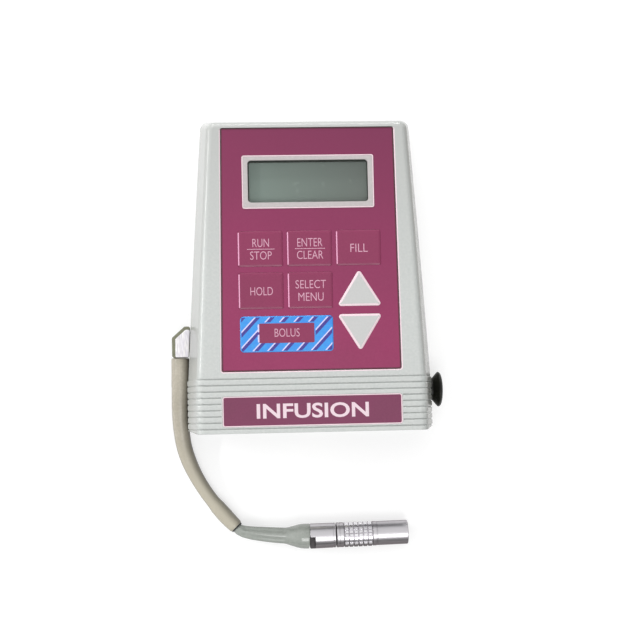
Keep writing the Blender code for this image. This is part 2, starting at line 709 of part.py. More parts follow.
def follower(name, x, half):
    """A blade that slides out through the base plate, with the flange that its cam pushes."""
    part = block(name, (x - half, 0.3, SLOT_Z[0] + 0.3), (x + half, 9.0, SLOT_Z[1] - 0.3), "gear")
    wide = max(half, 2.8)
    unite(part, box_tool(f"{name}_flange", ((x - wide, 8.5, SLOT_Z[0] + 0.6), (x + wide, 9.9, 21.2))))
    coil(f"{name}_spring", (x, 4.75, FOLLOWER_SPRING_Z), "Y", 1.6, 3.5, 4)


def mechanism_frame():
    frame = block("mechanism_frame", (-22.7, 9.0, 2.2), (22.7, 44.0, 3.4), "frame")
    right, left = ((21.3, 9.0, 2.6), (22.7, 44.0, 19.8)), ((-22.7, 9.0, 2.6), (-21.3, 22.0, 19.8))
    unite(frame, box_tool("cheeks", right, left))
    cut(frame, rod_tool("bearing_bore", 3.15, (-25.0, CAM_Y, CAM_Z), 50.0, "X", sides=16))
    cut(frame, rod_tool("idler_pin_hole", 1.2, (20.0, IDLER_Y, CAM_Z), 5.0, "X", sides=12))
    cut(frame, rod_tool("motor_hole", 2.8, (20.0, MOTOR_Y, CAM_Z), 5.0, "X", sides=16))


# ---- the cassette latch ----------------------------------------------------------------------

def latch():
    knob = [
        (0.0, 6.3), (3.5, 6.15), (5.6, 5.6), (6.3, 4.9), (6.45, 4.3),
        (4.0, 2.2), (4.0, 0.0), (2.15, 0.0), (2.15, 2.6), (0.0, 2.6),
    ]
    part = turned("latch_knob", knob, (43.4, LATCH_Y, LATCH_Z), "X", "black", steps=32)
    slot = ((48.5, LATCH_Y - 5.0, LATCH_Z - 0.7), (51.0, LATCH_Y + 5.0, LATCH_Z + 0.7))
    cut(part, box_tool("coin_slot", slot))
    shaft = rod_mesh("latch_shaft", LATCH_SHAFT, 14.6, 16)
    place("latch_shaft", shaft, "steel", (31.1, LATCH_Y, LATCH_Z), TURNS["X"])
    arc = [math.radians(a) for a in range(-140, 141, 28)]
    arm = [(3.5 * math.cos(a), 3.5 * math.sin(a)) for a in arc]
    arm += [(-9.0, 2.2), (-10.6, 1.2), (-10.6, -3.4), (-8.4, -3.4), (-8.4, -1.0), (-5.0, -2.25)]
    eye = circle(LATCH_SHAFT + 0.15, sides=16)
    plate("latch_hook", [arm, eye], 2.0, "steel", (39.6, LATCH_Y, LATCH_Z), "X")
    collar = [(LATCH_SHAFT + 0.1, 1.4), (3.4, 1.4), (3.4, 0.0), (LATCH_SHAFT + 0.1, 0.0)]
    turned("latch_collar", collar, (36.6, LATCH_Y, LATCH_Z), "X", "brass", steps=16, closed=True)
    coil("latch_spring", (33.2, LATCH_Y, LATCH_Z), "X", 2.65, 3.2, 3, wire=0.3)


# ---- the port and the lead -------------------------------------------------------------------

def port():
    socket = [(0.0, 6.6), (4.1, 6.6), (4.1, 0.0), (3.3, 0.0), (3.3, 5.6), (0.0, 5.6)]
    turned("port_socket", socket, (-43.7, PORT_Y, PORT_Z), "X", "black", steps=20)
    middle = LENGTH / 2
    side = [(-50.0, 27.3), (-44.95, 27.3), (-44.95, 39.3), (-45.8, 39.3), (-50.0, 34.6)]
    side = rounded([(x, y - middle) for x, y in side], 0.4, 2)
    hood = as_mesh(plate("plug_hood", [side], 8.8, "hood", (0.0, middle, PORT_Z)))
    unite(hood, rod_tool("plug_barrel", 3.0, (-46.0, PORT_Y, PORT_Z), 7.5, "X", sides=20))


def smooth_line(route, pieces=20):
    """A fine line along a smooth curve through a route's points."""
    knots = [Vector(p) for p in route]
    ends = [2 * knots[0] - knots[1]] + knots + [2 * knots[-1] - knots[-2]]
    line = []
    for before, here, there, after in zip(ends, ends[1:], ends[2:], ends[3:]):
        for t in (k / pieces for k in range(pieces)):
            line.append(
                here + (there - before) * t / 2
                + (2 * before - 5 * here + 4 * there - after) * t * t / 2
                + (3 * here - before - 3 * there + after) * t ** 3 / 2
            )
    return line + [knots[-1]]


def stretch(line, start, end, count):
    """`count` points evenly spaced along a line, from one distance along it to another."""
    lengths = [0.0]
    for a, b in zip(line, line[1:]):
        lengths.append(lengths[-1] + (b - a).length)
    end = min(end, lengths[-1])
    points = []
    for k in range(count):
        distance = start + (end - start) * k / (count - 1)
        i = max(j for j, length in enumerate(lengths[:-1]) if length <= distance)
        share = (distance - lengths[i]) / (lengths[i + 1] - lengths[i])
        points.append(line[i].lerp(line[i + 1], share))
    return points


def radius_along(share):
    """The boot's radius, from its thin end to the nut."""
    for (low, first), (high, last) in zip(BOOT_RADII, BOOT_RADII[1:]):
        if share <= high:
            return first + (last - first) * (share - low) / (high - low)
    return BOOT_RADII[-1][1]


def lead():
    """The cord, and the boot that carries on from it to the connector."""
    line = smooth_line(LEAD_ROUTE)
    cord = stretch(line, 0.0, CORD_LENGTH, 16)
    tube("cord", cord, [CORD_RADIUS] * len(cord), "sleeve")
    boot = stretch(line, CORD_LENGTH + BOOT_GAP, math.inf, 15)
    radii = [radius_along(i / (len(boot) - 1)) for i in range(len(boot))]
    tube("cord_boot", boot, radii, "boot", sides_level=3)


def connector():
    """The metal cable socket: nut, knurled shell with an open mouth, and the insert in it."""
    start = (0.0, CONNECTOR_Y, CONNECTOR_Z)
    nut = [(0.0, 8.9), (4.2, 8.9), (4.45, 8.6), (4.45, 0.5), (4.3, 0.15), (0.0, 0.15)]
    turned("connector_nut", nut, start, "X", "chrome")
    shell = [
        (0.0, 18.0), (3.5, 18.0), (3.5, 36.1), (4.1, 36.1), (4.35, 35.7), (4.35, 22.6),
        (4.6, 22.4), (4.6, 12.1), (4.4, 11.9), (4.4, 9.4), (4.2, 9.2), (0.0, 9.2),
    ]
    turned("connector_shell", shell, start, "X", "chrome")
    insert = [(0.0, 30.5), (3.2, 30.5), (3.2, 18.3), (0.0, 18.3)]
    turned("connector_insert", insert, start, "X", "frame", steps=20)


# ---- fasteners -------------------------------------------------------------------------------

def fasteners():
    screw = [
        (0.0, 12.4), (0.8, 12.4), (1.15, 11.9), (1.15, 1.5), (2.3, 1.5), (2.3, 0.4), (1.9, 0.0), (0.0, 0.0),
    ]
    for i, (x, y) in enumerate(POSTS, 1):
        turned(f"case_screw_{i}", screw, (x, y, 0.5), "Z", "steel", steps=12)
    insert = [(1.7, 5.4), (2.5, 5.4), (2.5, 0.0), (1.7, 0.0)]
    turned("bracket_insert", insert, (0.0, INSERT_Y, 0.3), "Z", "brass", steps=20, closed=True)


for leftover in list(bpy.data.objects):
    bpy.data.objects.remove(leftover)
PARTS = fresh_collection("infusion_pump")
TOOLS = fresh_collection("cutters")
front_housing()
rear_housing()
housing_seal()
base_plate()
front_face()
electronics()
battery()
mechanism_frame()
gear_train()
camshaft()
follower("expulsor", 0.0, 9.0)
follower("inlet_valve", -VALVE_X, 1.5)
follower("outlet_valve", VALVE_X, 1.5)
latch()
port()
lead()
connector()
fasteners()
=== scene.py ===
"""The looks of an ambulatory infusion pump lying on its back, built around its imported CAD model.

Sizes are in millimetres. A place is (x, y, z) with y counted from the pump's foot, and `at` turns it
into metres in the frame.
"""
from math import cos, pi, radians, sin, sqrt, tan

import bmesh
import bpy
from mathutils import Matrix, Vector


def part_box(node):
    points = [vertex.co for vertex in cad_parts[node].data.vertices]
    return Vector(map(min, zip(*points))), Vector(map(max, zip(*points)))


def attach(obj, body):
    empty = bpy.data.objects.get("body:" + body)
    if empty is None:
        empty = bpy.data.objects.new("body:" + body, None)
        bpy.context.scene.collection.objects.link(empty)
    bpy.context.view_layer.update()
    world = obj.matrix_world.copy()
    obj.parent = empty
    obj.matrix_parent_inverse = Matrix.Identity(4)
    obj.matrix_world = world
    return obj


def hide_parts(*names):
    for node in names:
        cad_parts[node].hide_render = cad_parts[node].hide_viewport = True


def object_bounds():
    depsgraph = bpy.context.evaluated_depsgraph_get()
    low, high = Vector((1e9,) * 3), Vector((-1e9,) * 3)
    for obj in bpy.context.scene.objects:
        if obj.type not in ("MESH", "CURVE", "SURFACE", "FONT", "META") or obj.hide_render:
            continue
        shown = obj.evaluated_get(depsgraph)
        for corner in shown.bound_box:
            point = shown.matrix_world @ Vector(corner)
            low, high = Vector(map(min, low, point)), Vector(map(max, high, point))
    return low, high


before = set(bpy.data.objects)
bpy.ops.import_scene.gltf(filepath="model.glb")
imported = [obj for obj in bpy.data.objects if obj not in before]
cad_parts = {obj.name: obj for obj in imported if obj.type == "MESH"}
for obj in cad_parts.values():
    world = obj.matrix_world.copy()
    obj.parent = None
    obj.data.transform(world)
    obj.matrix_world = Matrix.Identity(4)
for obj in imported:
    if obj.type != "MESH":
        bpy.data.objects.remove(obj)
CAD_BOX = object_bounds()
MM = 0.001
FOOT = Vector((0.0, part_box("front_housing")[0].y, 0.0))
UP = Vector((0.0, 0.0, 1.0))


def at(x, y, z):
    return Vector((x, y, z)) * MM + FOOT


def span(node):
    """A CAD node's range along each axis: ((x0, x1), (y0, y1), (z0, z1))."""
    low, high = ((corner - FOOT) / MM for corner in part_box(node))
    return tuple(zip(low, high))


# ---- driving sizes

DEPTH = span("front_housing")[2][1]
LENGTH = 114.0
SEAM = 14.0
WALL = 1.8
FOOT_HALF = 44.2
TOP_HALF = 38.2
SIDE_BOW = 0.2
SLOPE_FOOT = 3.6
SLOPE_TOP = 2.6
BACK_DRAFT = 0.3
CORNER = 3.0
EDGE = 2.0
BACK_EDGE = 1.0
END_EDGE = 0.2
CORNER_CUT = (4.3, 1.3)

BAND = 19.6
GROOVES = 9
GROOVE_PITCH = 2.215
GROOVE_FIRST = 19.45
RIB_PROUD = 0.4
GROOVE_DEPTH = 0.6
RIB_PROFILE = [
    (0.0, 0.0), (0.13, 0.0), (0.17, 0.36), (0.22, 0.7), (0.3, 0.87), (0.45, 0.95), (0.7, 0.985), (1.0, 1.0),
]
PAD_X = (32.4, 32.8)
PAD_Y = (2.2, 13.5)

OVERLAY_Y = span("keypad_overlay")[1]
OVERLAY_HALF = (31.9, 30.9)
OVERLAY_TOP = span("keypad_overlay")[2][1]
TRAY = 25.65
KEY_TOP = 27.93
LABEL_RIM = 0.38
PLATE_TOP = 27.97
POSTS = [(-34.5, 23.0), (34.5, 23.0), (-34.5, 76.0), (34.5, 76.0)]
INSERT_Y = 66.0
DOOR_HALF = 26.0
LATCH_Y, LATCH_Z = 14.65, 8.2
PORT_Y, PORT_Z = 33.6, 9.0
CONNECTOR_Y, CONNECTOR_Z = -38.1, 4.65


def add(name, data):
    thing = bpy.data.objects.new(name, data)
    bpy.context.scene.collection.objects.link(thing)
    return thing


# ---- camera

def camera():
    data = bpy.data.cameras.new("camera")
    data.lens = 89.86
    data.sensor_width = 36.0
    data.clip_start = 0.01
    view = add("camera", data)
    view.location = at(-34.31, 7.08, 596.87)
    turn = Vector((0.0579, -0.06554, -0.02))
    view.rotation_mode = "QUATERNION"
    view.rotation_quaternion = Matrix.Rotation(turn.length, 3, turn.normalized()).to_quaternion()
    bpy.context.scene.camera = view


# ---- materials

def noise(tree, coordinates, size, detail=3.0):
    """A noise texture whose features are about `size` millimetres across."""
    texture = tree.nodes.new("ShaderNodeTexNoise")
    texture.inputs["Scale"].default_value = 1.0 / (size * MM)
    texture.inputs["Detail"].default_value = detail
    tree.links.new(coordinates, texture.inputs["Vector"])
    return texture.outputs["Fac"]


def spread(tree, value, low, high, start=0.35, end=0.65):
    """Maps a noise value onto a range."""
    node = tree.nodes.new("ShaderNodeMapRange")
    for socket, number in (("From Min", start), ("From Max", end), ("To Min", low), ("To Max", high)):
        node.inputs[socket].default_value = number
    tree.links.new(value, node.inputs["Value"])
    return node.outputs["Result"]


def mixed(tree, colour, tint, factor, last=None):
    """A mix of a colour and a tint. `last` is the output that gives the colour, if there is one."""
    mix = tree.nodes.new("ShaderNodeMix")
    mix.data_type = "RGBA"
    mix.inputs["A"].default_value = (*colour, 1.0)
    mix.inputs["B"].default_value = (*tint, 1.0)
    if last:
        tree.links.new(last, mix.inputs["A"])
    tree.links.new(factor, mix.inputs["Factor"])
    return mix.outputs["Result"]


def length_along(tree, source, direction):
    """A vector's length along a direction."""
    node = tree.nodes.new("ShaderNodeVectorMath")
    node.operation = "DOT_PRODUCT"
    node.inputs[1].default_value = direction
    tree.links.new(source, node.inputs[0])
    return node.outputs["Value"]


def surface(
    name, colour, roughness, metallic=0.0, mottle=(), grain=(), rub=0.06, stretch=None, fade=None, rounding_and_painted_shade=(),
    **sockets
):
    """A procedural material.

    mottle: (size, tint, share) layers of colour. grain: (size, height) layers of relief, in mm.
    rub: how far the roughness varies. stretch: scales the texture's space along each axis.
    fade: (direction, start, end, tint), a tint that comes in along a direction, between two distances in mm.
    The list after fade is the same for the way a face points, between two shares of the direction: painted shade
    on faces that turn from the light.
    """
    made = bpy.data.materials.new(name)
    made.use_nodes = True
    tree = made.node_tree
    shader = tree.nodes["Principled BSDF"]
    shader.inputs["Metallic"].default_value = metallic
    for socket, value in sockets.items():
        shader.inputs[socket.replace("_", " ")].default_value = value
    coordinates = place = tree.nodes.new("ShaderNodeTexCoord").outputs["Object"]
    if stretch:
        mapping = tree.nodes.new("ShaderNodeMapping")
        mapping.inputs["Scale"].default_value = stretch
        tree.links.new(coordinates, mapping.inputs["Vector"])
        coordinates = mapping.outputs["Vector"]

    shader.inputs["Base Color"].default_value = (*colour, 1.0)
    last = None
    for size, tint, share in mottle:
        last = mixed(tree, colour, tint, spread(tree, noise(tree, coordinates, size), 0.0, share), last)
    if fade:
        direction, start, end, tint = fade
        along = length_along(tree, place, direction)
        last = mixed(tree, colour, tint, spread(tree, along, 0.0, 1.0, start * MM, end * MM), last)
    # Painted shade, by the way a face points.
    for direction, start, end, tint in rounding_and_painted_shade:
        along = length_along(tree, tree.nodes.new("ShaderNodeNewGeometry").outputs["Normal"], direction)
        last = mixed(tree, colour, tint, spread(tree, along, 0.0, 1.0, start, end), last)
    if last:
        tree.links.new(last, shader.inputs["Base Color"])

    wear = spread(tree, noise(tree, coordinates, 5.0), roughness - rub, roughness + rub)
    tree.links.new(wear, shader.inputs["Roughness"])
    relief = None
    for size, height in grain:
        bump = tree.nodes.new("ShaderNodeBump")
        bump.inputs["Distance"].default_value = height * MM
        tree.links.new(noise(tree, coordinates, size, 2.0), bump.inputs["Height"])
        if relief:
            tree.links.new(relief, bump.inputs["Normal"])
        relief = bump.outputs["Normal"]
    if relief:
        tree.links.new(relief, shader.inputs["Normal"])
    return made


PRINT_GRAIN = [(0.28, 0.004)]
# Painted shade: the case darkens towards its top and on the faces that turn to either side, most on the right.
CASE = surface(
    "case_grey", (0.56, 0.575, 0.56), 0.2, rub=0.04, Specular_IOR_Level=0.37,
    fade=((0.04, 1.0, 0.0), -8.0, 62.0, (0.475, 0.485, 0.47)),
    rounding_and_painted_shade=[
        ((1.0, 0.0, 0.0), 0.5, 0.98, (0.28, 0.28, 0.258)), ((-1.0, 0.0, 0.0), 0.62, 0.95, (0.42, 0.43, 0.415)),
    ],
    mottle=[(3.5, (0.52, 0.55, 0.54), 0.35), (0.9, (0.66, 0.67, 0.655), 0.5), (0.45, (0.46, 0.50, 0.48), 0.35)],
    grain=[(0.35, 0.012), (1.4, 0.02)],
)
# A pale pink for narrow edges: a painted highlight where the edges catch the light.
RIM_HIGHLIGHT = surface(
    "painted_edge_highlight", (0.86, 0.68, 0.73), 0.4, mottle=[(2.0, (0.78, 0.60, 0.66), 0.4)], grain=[(0.4, 0.004)],
)
# Painted shade: the panel darkens towards its top and right.
PANEL = surface(
    "panel_plum", (0.285, 0.030, 0.108), 0.36, Specular_IOR_Level=0.4,
    fade=((0.25, 1.0, 0.0), -17.0, 60.0, (0.19, 0.025, 0.08)),
    mottle=[(26.0, (0.25, 0.034, 0.098), 0.6), (0.7, (0.325, 0.045, 0.128), 0.3)], grain=PRINT_GRAIN,
)
# Painted shadow: a dark plum for the overlay's outermost edge.
PANEL_EDGE_SHADOW = surface("painted_panel_edge_shadow", (0.11, 0.02, 0.04), 0.4, mottle=[(1.5, (0.15, 0.025, 0.055), 0.5)])
KEY_PANEL = surface(
    "key_plum", (0.25, 0.031, 0.094), 0.36, Specular_IOR_Level=0.4,
    mottle=[(26.0, (0.22, 0.033, 0.087), 0.6), (0.7, (0.285, 0.045, 0.112), 0.3)], grain=PRINT_GRAIN,
)
LABEL = surface(
    "label_plum", (0.193, 0.038, 0.095), 0.38, Specular_IOR_Level=0.4,
    mottle=[(14.0, (0.168, 0.038, 0.084), 0.6), (0.7, (0.225, 0.053, 0.11), 0.3)], grain=PRINT_GRAIN,
)
# A painted highlight: the pink line along each key's lit left edge.
KEY_EDGE_HIGHLIGHT = surface("painted_pink_highlight", (0.86, 0.40, 0.60), 0.4, mottle=[(0.6, (0.76, 0.34, 0.52), 0.4)])
LEGEND = surface("print_rose", (0.68, 0.38, 0.49), 0.4, mottle=[(0.5, (0.59, 0.30, 0.41), 0.4)])
LETTER = surface("print_white", (0.80, 0.64, 0.70), 0.4, mottle=[(0.6, (0.74, 0.56, 0.63), 0.4)])
BLUE = surface(
    "print_blue", (0.045, 0.30, 0.80), 0.36, Specular_IOR_Level=0.4,
    mottle=[(7.0, (0.035, 0.24, 0.76), 0.7), (1.3, (0.055, 0.40, 0.80), 0.6), (0.5, (0.08, 0.25, 0.74), 0.4)],
    grain=PRINT_GRAIN,
)
# The dose key's dark stripes are print with painted shade; the light stripes and the plain field's left edge are a
# painted highlight.
VIOLET_PRINT_AND_SHADE = surface("violet_print_and_shade", (0.05, 0.038, 0.27), 0.36, mottle=[(0.8, (0.085, 0.06, 0.34), 0.5)])
LAVENDER_HIGHLIGHT = surface("painted_lavender_highlight", (0.62, 0.62, 0.92), 0.36, mottle=[(0.7, (0.80, 0.70, 0.94), 0.6)])
ARROW = surface(
    "print_grey", (0.55, 0.55, 0.545), 0.34,
    mottle=[(5.0, (0.52, 0.535, 0.52), 0.5), (0.7, (0.61, 0.61, 0.605), 0.3)], grain=PRINT_GRAIN,
)
BEZEL = surface(
    "bezel_grey", (0.49, 0.45, 0.45), 0.36, mottle=[(0.8, (0.58, 0.55, 0.545), 0.4)], grain=[(0.3, 0.004)],
)
WINDOW = surface(
    "window_clear", (0.05, 0.06, 0.055), 0.06, rub=0.03, mottle=[(20.0, (0.07, 0.08, 0.07), 0.5)], Alpha=0.12,
)
GLASS = surface(
    "display_green", (0.285, 0.37, 0.325), 0.22,
    mottle=[(22.0, (0.26, 0.33, 0.29), 0.6), (0.6, (0.31, 0.395, 0.35), 0.3)],
    fade=((1.0, 0.0, 0.0), -22.0, 26.0, (0.182, 0.206, 0.185)),
)
# The display's dark seal, and a painted shadow of its frame.
SEAL_AND_SHADOW = surface("display_seal_and_shadow", (0.030, 0.038, 0.030), 0.5, mottle=[(0.8, (0.045, 0.052, 0.04), 0.5)])
BLACK = surface(
    "moulded_black", (0.006, 0.006, 0.005), 0.42, Specular_IOR_Level=0.25,
    mottle=[(1.5, (0.012, 0.013, 0.007), 0.6)], grain=[(0.3, 0.012), (1.2, 0.01)],
)
# Dark rubber for the seals; on the lead's sleeve it is also a painted shadow at the sleeve's end.
RUBBER_AND_GAP_SHADE = surface(
    "seal_rubber_and_gap_shade", (0.03, 0.03, 0.03), 0.8, mottle=[(1.2, (0.05, 0.05, 0.05), 0.5)], grain=[(0.4, 0.02)],
)
FILM = surface("polyester_film", (0.75, 0.72, 0.62), 0.4, mottle=[(4.0, (0.70, 0.66, 0.52), 0.5)])
BOARD = surface(
    "solder_resist", (0.02, 0.16, 0.06), 0.42,
    mottle=[(2.0, (0.015, 0.11, 0.04), 0.7), (0.5, (0.05, 0.24, 0.10), 0.4)], grain=[(0.6, 0.02)],
)
STEEL = surface(
    "steel", (0.55, 0.55, 0.54), 0.32, metallic=1.0,
    mottle=[(1.2, (0.45, 0.45, 0.45), 0.5)], grain=[(0.25, 0.006)],
)
BRASS = surface(
    "turned_brass", (0.70, 0.48, 0.18), 0.32, metallic=1.0,
    mottle=[(1.2, (0.55, 0.38, 0.15), 0.5)], grain=[(0.25, 0.006)],
)
ACETAL = surface(
    "acetal", (0.78, 0.76, 0.68), 0.45, mottle=[(2.0, (0.70, 0.68, 0.58), 0.5)], grain=[(0.5, 0.01)],
)
FRAME = surface(
    "dark_plastic", (0.12, 0.12, 0.13), 0.5,
    mottle=[(1.5, (0.16, 0.16, 0.17), 0.6)], grain=[(0.35, 0.02), (2.0, 0.02)],
)
CELL = surface(
    "battery_can", (0.05, 0.05, 0.06), 0.3, metallic=0.6,
    mottle=[(6.0, (0.09, 0.09, 0.10), 0.6)], grain=[(0.4, 0.006)],
)
CLEAR = surface(
    "clear_plastic", (0.27, 0.275, 0.19), 0.12, rub=0.04, Transmission_Weight=0.35, IOR=1.47,
    mottle=[(1.3, (0.19, 0.19, 0.13), 0.5)], grain=[(1.5, 0.05)],
)
PLUG = surface(
    "plug_white", (0.93, 0.91, 0.90), 0.3,
    mottle=[(0.9, (0.70, 0.67, 0.78), 0.8), (0.45, (0.52, 0.49, 0.50), 0.5)], grain=[(0.7, 0.1)],
    stretch=(1.0, 0.16, 1.0),
)
# Painted light and shade: the sleeve grows lighter towards its lower end, and darker on faces that turn down, to
# the right and towards the lower left.
SLEEVE = surface(
    "sleeve_beige", (0.425, 0.39, 0.315), 0.36, fade=((0.0, -1.0, 0.0), 52.0, 78.0, (0.49, 0.455, 0.365)),
    rounding_and_painted_shade=[
        ((0.45, 0.0, -0.89), -0.92, 0.25, (0.11, 0.095, 0.07)),
        ((-0.9, -0.44, 0.0), 0.84, 1.0, (0.27, 0.24, 0.19)),
    ],
    mottle=[(4.0, (0.53, 0.49, 0.41), 0.6), (0.8, (0.34, 0.31, 0.255), 0.45)],
    grain=[(0.5, 0.02), (2.5, 0.08)],
)
# Painted shade: the boot darkens on its underside and along its edges.
BOOT = surface(
    "boot_green", (0.325, 0.35, 0.32), 0.17, rounding_and_painted_shade=[((0.0, -0.22, -0.97), -0.6, 0.1, (0.08, 0.09, 0.075))],
    mottle=[(3.0, (0.40, 0.42, 0.39), 0.6), (0.7, (0.27, 0.29, 0.26), 0.4)], grain=[(0.6, 0.006), (2.0, 0.03)],
    rub=0.05, Specular_IOR_Level=0.75,
)
# Painted shade for the connector's metal: darker on faces that turn downwards and towards the bottom of the frame.
UNDERSIDE_SHADE = ((0.0, -0.45, -0.89), -0.92, -0.2, (0.18, 0.165, 0.172))
METAL = surface(
    "satin_chrome", (0.69, 0.672, 0.70), 0.33, metallic=1.0,
    mottle=[(1.5, (0.59, 0.575, 0.59), 0.4)], grain=[(0.3, 0.003)], stretch=(0.15, 1.0, 1.0), rounding_and_painted_shade=[UNDERSIDE_SHADE],
    Specular_Tint=(0.62, 0.59, 0.6, 1.0),
)
# Painted shade: the knurl's studs darken on the lower part of the knurl.
STUD_METAL = surface(
    "stud_metal", (0.87, 0.86, 0.885), 0.22, metallic=1.0, mottle=[(1.5, (0.78, 0.76, 0.78), 0.4)],
    fade=((0.0107, -0.35, -0.93), 26.72, 28.26, (0.10, 0.085, 0.09)),
)
DARK_METAL = surface(
    "shadow_metal", (0.50, 0.48, 0.51), 0.4, metallic=0.8,
    mottle=[(0.8, (0.38, 0.36, 0.38), 0.5)], rounding_and_painted_shade=[UNDERSIDE_SHADE],
)
# Painted shade: a near-black for the inside of the nut's notch.
NOTCH_SHADE = surface("painted_notch_shade", (0.09, 0.08, 0.085), 0.5, metallic=0.3, mottle=[(0.8, (0.06, 0.055, 0.06), 0.5)])


# ---- mesh helpers

def finished(name, shape):
    """A mesh from a bmesh, with its faces pointing out."""
    bmesh.ops.recalc_face_normals(shape, faces=shape.faces)
    mesh = bpy.data.meshes.new(name)
    shape.to_mesh(mesh)
    shape.free()
    return mesh


def link(name, mesh, *materials):
    """Adds an object from a mesh or a bmesh."""
    if isinstance(mesh, bmesh.types.BMesh):
        mesh = finished(name, mesh)
    for each in materials:
        mesh.materials.append(each)
    return add(name, mesh)


def piece(name, mesh, materials, body, replaces=(), angle=35):
    """Adds a piece of the object, shaded smooth except where its faces meet sharply."""
    thing = link(name, mesh, *materials)
    thing.data.shade_smooth()
    thing.data.set_sharp_from_angle(angle=radians(angle))
    flats = thing.modifiers.new("Flats", "WEIGHTED_NORMAL")
    flats.keep_sharp = True
    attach(thing, body)
    if replaces:
        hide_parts(*replaces)
    return thing


def evaluated(thing):
    """A new mesh of an object with its modifiers applied."""
    bpy.context.view_layer.update()
    return bpy.data.meshes.new_from_object(thing.evaluated_get(bpy.context.evaluated_depsgraph_get()))


def carved(name, solid, materials, joined=(), cutters=()):
    """The mesh of a solid after other shapes are joined to it and cut from it."""
    body = link(name + "_solid", solid, *materials)
    others = []
    for operation, shapes in (("UNION", joined), ("DIFFERENCE", cutters)):
        for mesh in shapes:
            other = link(name + "_tool", mesh, *materials)
            others.append(other)
            change = body.modifiers.new("Change", "BOOLEAN")
            change.operation = operation
            change.solver = "EXACT"
            change.object = other
    mesh = evaluated(body)
    mesh.name = name
    for thing in [body, *others]:
        bpy.data.objects.remove(thing)
    return mesh


def walls(shape, rows, closed=True):
    """Adds the faces between rows of vertices; closed rows are rings."""
    for low, high in zip(rows, rows[1:]):
        for i in range(len(low) if closed else len(low) - 1):
            j = (i + 1) % len(low)
            shape.faces.new((low[i], low[j], high[j], high[i]))


def loft(rings, shape=None):
    """A solid through rings of places that all have the same number of points."""
    shape = shape or bmesh.new()
    rows = [[shape.verts.new(at(*point)) for point in ring] for ring in rings]
    walls(shape, rows)
    shape.faces.new(reversed(rows[0]))
    shape.faces.new(rows[-1])
    return shape


def boxes(*spans):
    """Boxes, each given by its low and high corner."""
    shape = bmesh.new()
    for low, high in spans:
        made = bmesh.ops.create_cube(shape, size=1.0)
        bmesh.ops.scale(shape, vec=(Vector(high) - Vector(low)) * MM, verts=made["verts"])
        bmesh.ops.translate(shape, vec=(at(*low) + at(*high)) / 2, verts=made["verts"])
    return shape


def rounded(points, radius, steps=5):
    """The points of an outline with each corner turned into an arc."""
    made = []
    for i, corner in enumerate(points):
        corner = Vector(corner)
        before = (Vector(points[i - 1]) - corner).normalized()
        after = (Vector(points[(i + 1) % len(points)]) - corner).normalized()
        half = before.angle(after) / 2
        centre = corner + (before + after).normalized() * (radius / sin(half))
        first = corner + before * (radius / tan(half)) - centre
        last = corner + after * (radius / tan(half)) - centre
        sweep = -first.angle_signed(last)
        made += [tuple(centre + Matrix.Rotation(sweep * k / steps, 2) @ first) for k in range(steps + 1)]
    return made


def grown(points, out):
    """A convex outline, counterclockwise, with its sides moved out by a distance."""
    made = []
    for i, corner in enumerate(points):
        corner = Vector(corner)
        before = (corner - Vector(points[i - 1])).normalized()
        after = (Vector(points[(i + 1) % len(points)]) - corner).normalized()
        first, second = Vector((before.y, -before.x)), Vector((after.y, -after.x))
        made.append(corner + (first + second) * (out / (1 + first.dot(second))))
    return made


def framed(x, y, radius=0.6, extra=0.0):
    """A rounded rectangle from its ranges, as an outline: a function of how far it is grown."""
    def outline(grow=0.0):
        out = extra + grow
        corners = [
            (x[0] - out, y[0] - out), (x[1] + out, y[0] - out),
            (x[1] + out, y[1] + out), (x[0] - out, y[1] + out),
        ]
        short = min(x[1] - x[0], y[1] - y[0]) / 2 + out
        return rounded(corners, min(max(radius + out, 0.15), 0.9 * short))
    return outline


def pad(outline, levels):
    """A solid over an outline: levels are (how far in from the outline, height)."""
    return loft([[(x, y, z) for x, y in outline(-inward)] for inward, z in levels])


def sheet(outline, holes, levels):
    """A flat solid with holes: levels are (how far its edges stand back, height)."""
    shape = bmesh.new()
    ends = [[], []]
    for sign, edge in [(-1, outline)] + [(1, hole) for hole in holes]:
        rows = [[shape.verts.new(at(x, y, z)) for x, y in edge(sign * back)] for back, z in levels]
        walls(shape, rows)
        for end, row in zip(ends, (rows[0], rows[-1])):
            end += [shape.edges.get(pair) for pair in zip(row, row[1:] + row[:1])]
    for end, normal in zip(ends, (-UP, UP)):
        bmesh.ops.triangle_fill(shape, use_beauty=True, use_dissolve=False, edges=end, normal=normal)
    return shape


AXES = {"X": Matrix(((0, 0, 1), (1, 0, 0), (0, 1, 0))), "Z": Matrix.Identity(3)}


def turned(profile, start, along, steps=96, shape=None):
    """A solid turned about +X or +Z, from a profile of (radius, distance along) from end to end."""
    shape = shape or bmesh.new()
    rows = []
    for radius, distance in profile:
        row = []
        for angle in [2 * pi * i / steps for i in range(steps)] if radius else [0.0]:
            offset = Vector((radius * cos(angle), radius * sin(angle), distance))
            row.append(shape.verts.new(at(*(Vector(start) + AXES[along] @ offset))))
        rows.append(row)
    for low, high in zip(rows, rows[1:]):
        for i in range(steps):
            j = (i + 1) % steps
            corners = [low[i % len(low)], low[j % len(low)], high[j % len(high)], high[i % len(high)]]
            unique = list(dict.fromkeys(corners))
            if len(unique) > 2:
                shape.faces.new(unique)
    return shape


def rod(radius, start, length, along):
    return turned([(0, 0), (radius, 0), (radius, length), (0, length)], start, along, 48)


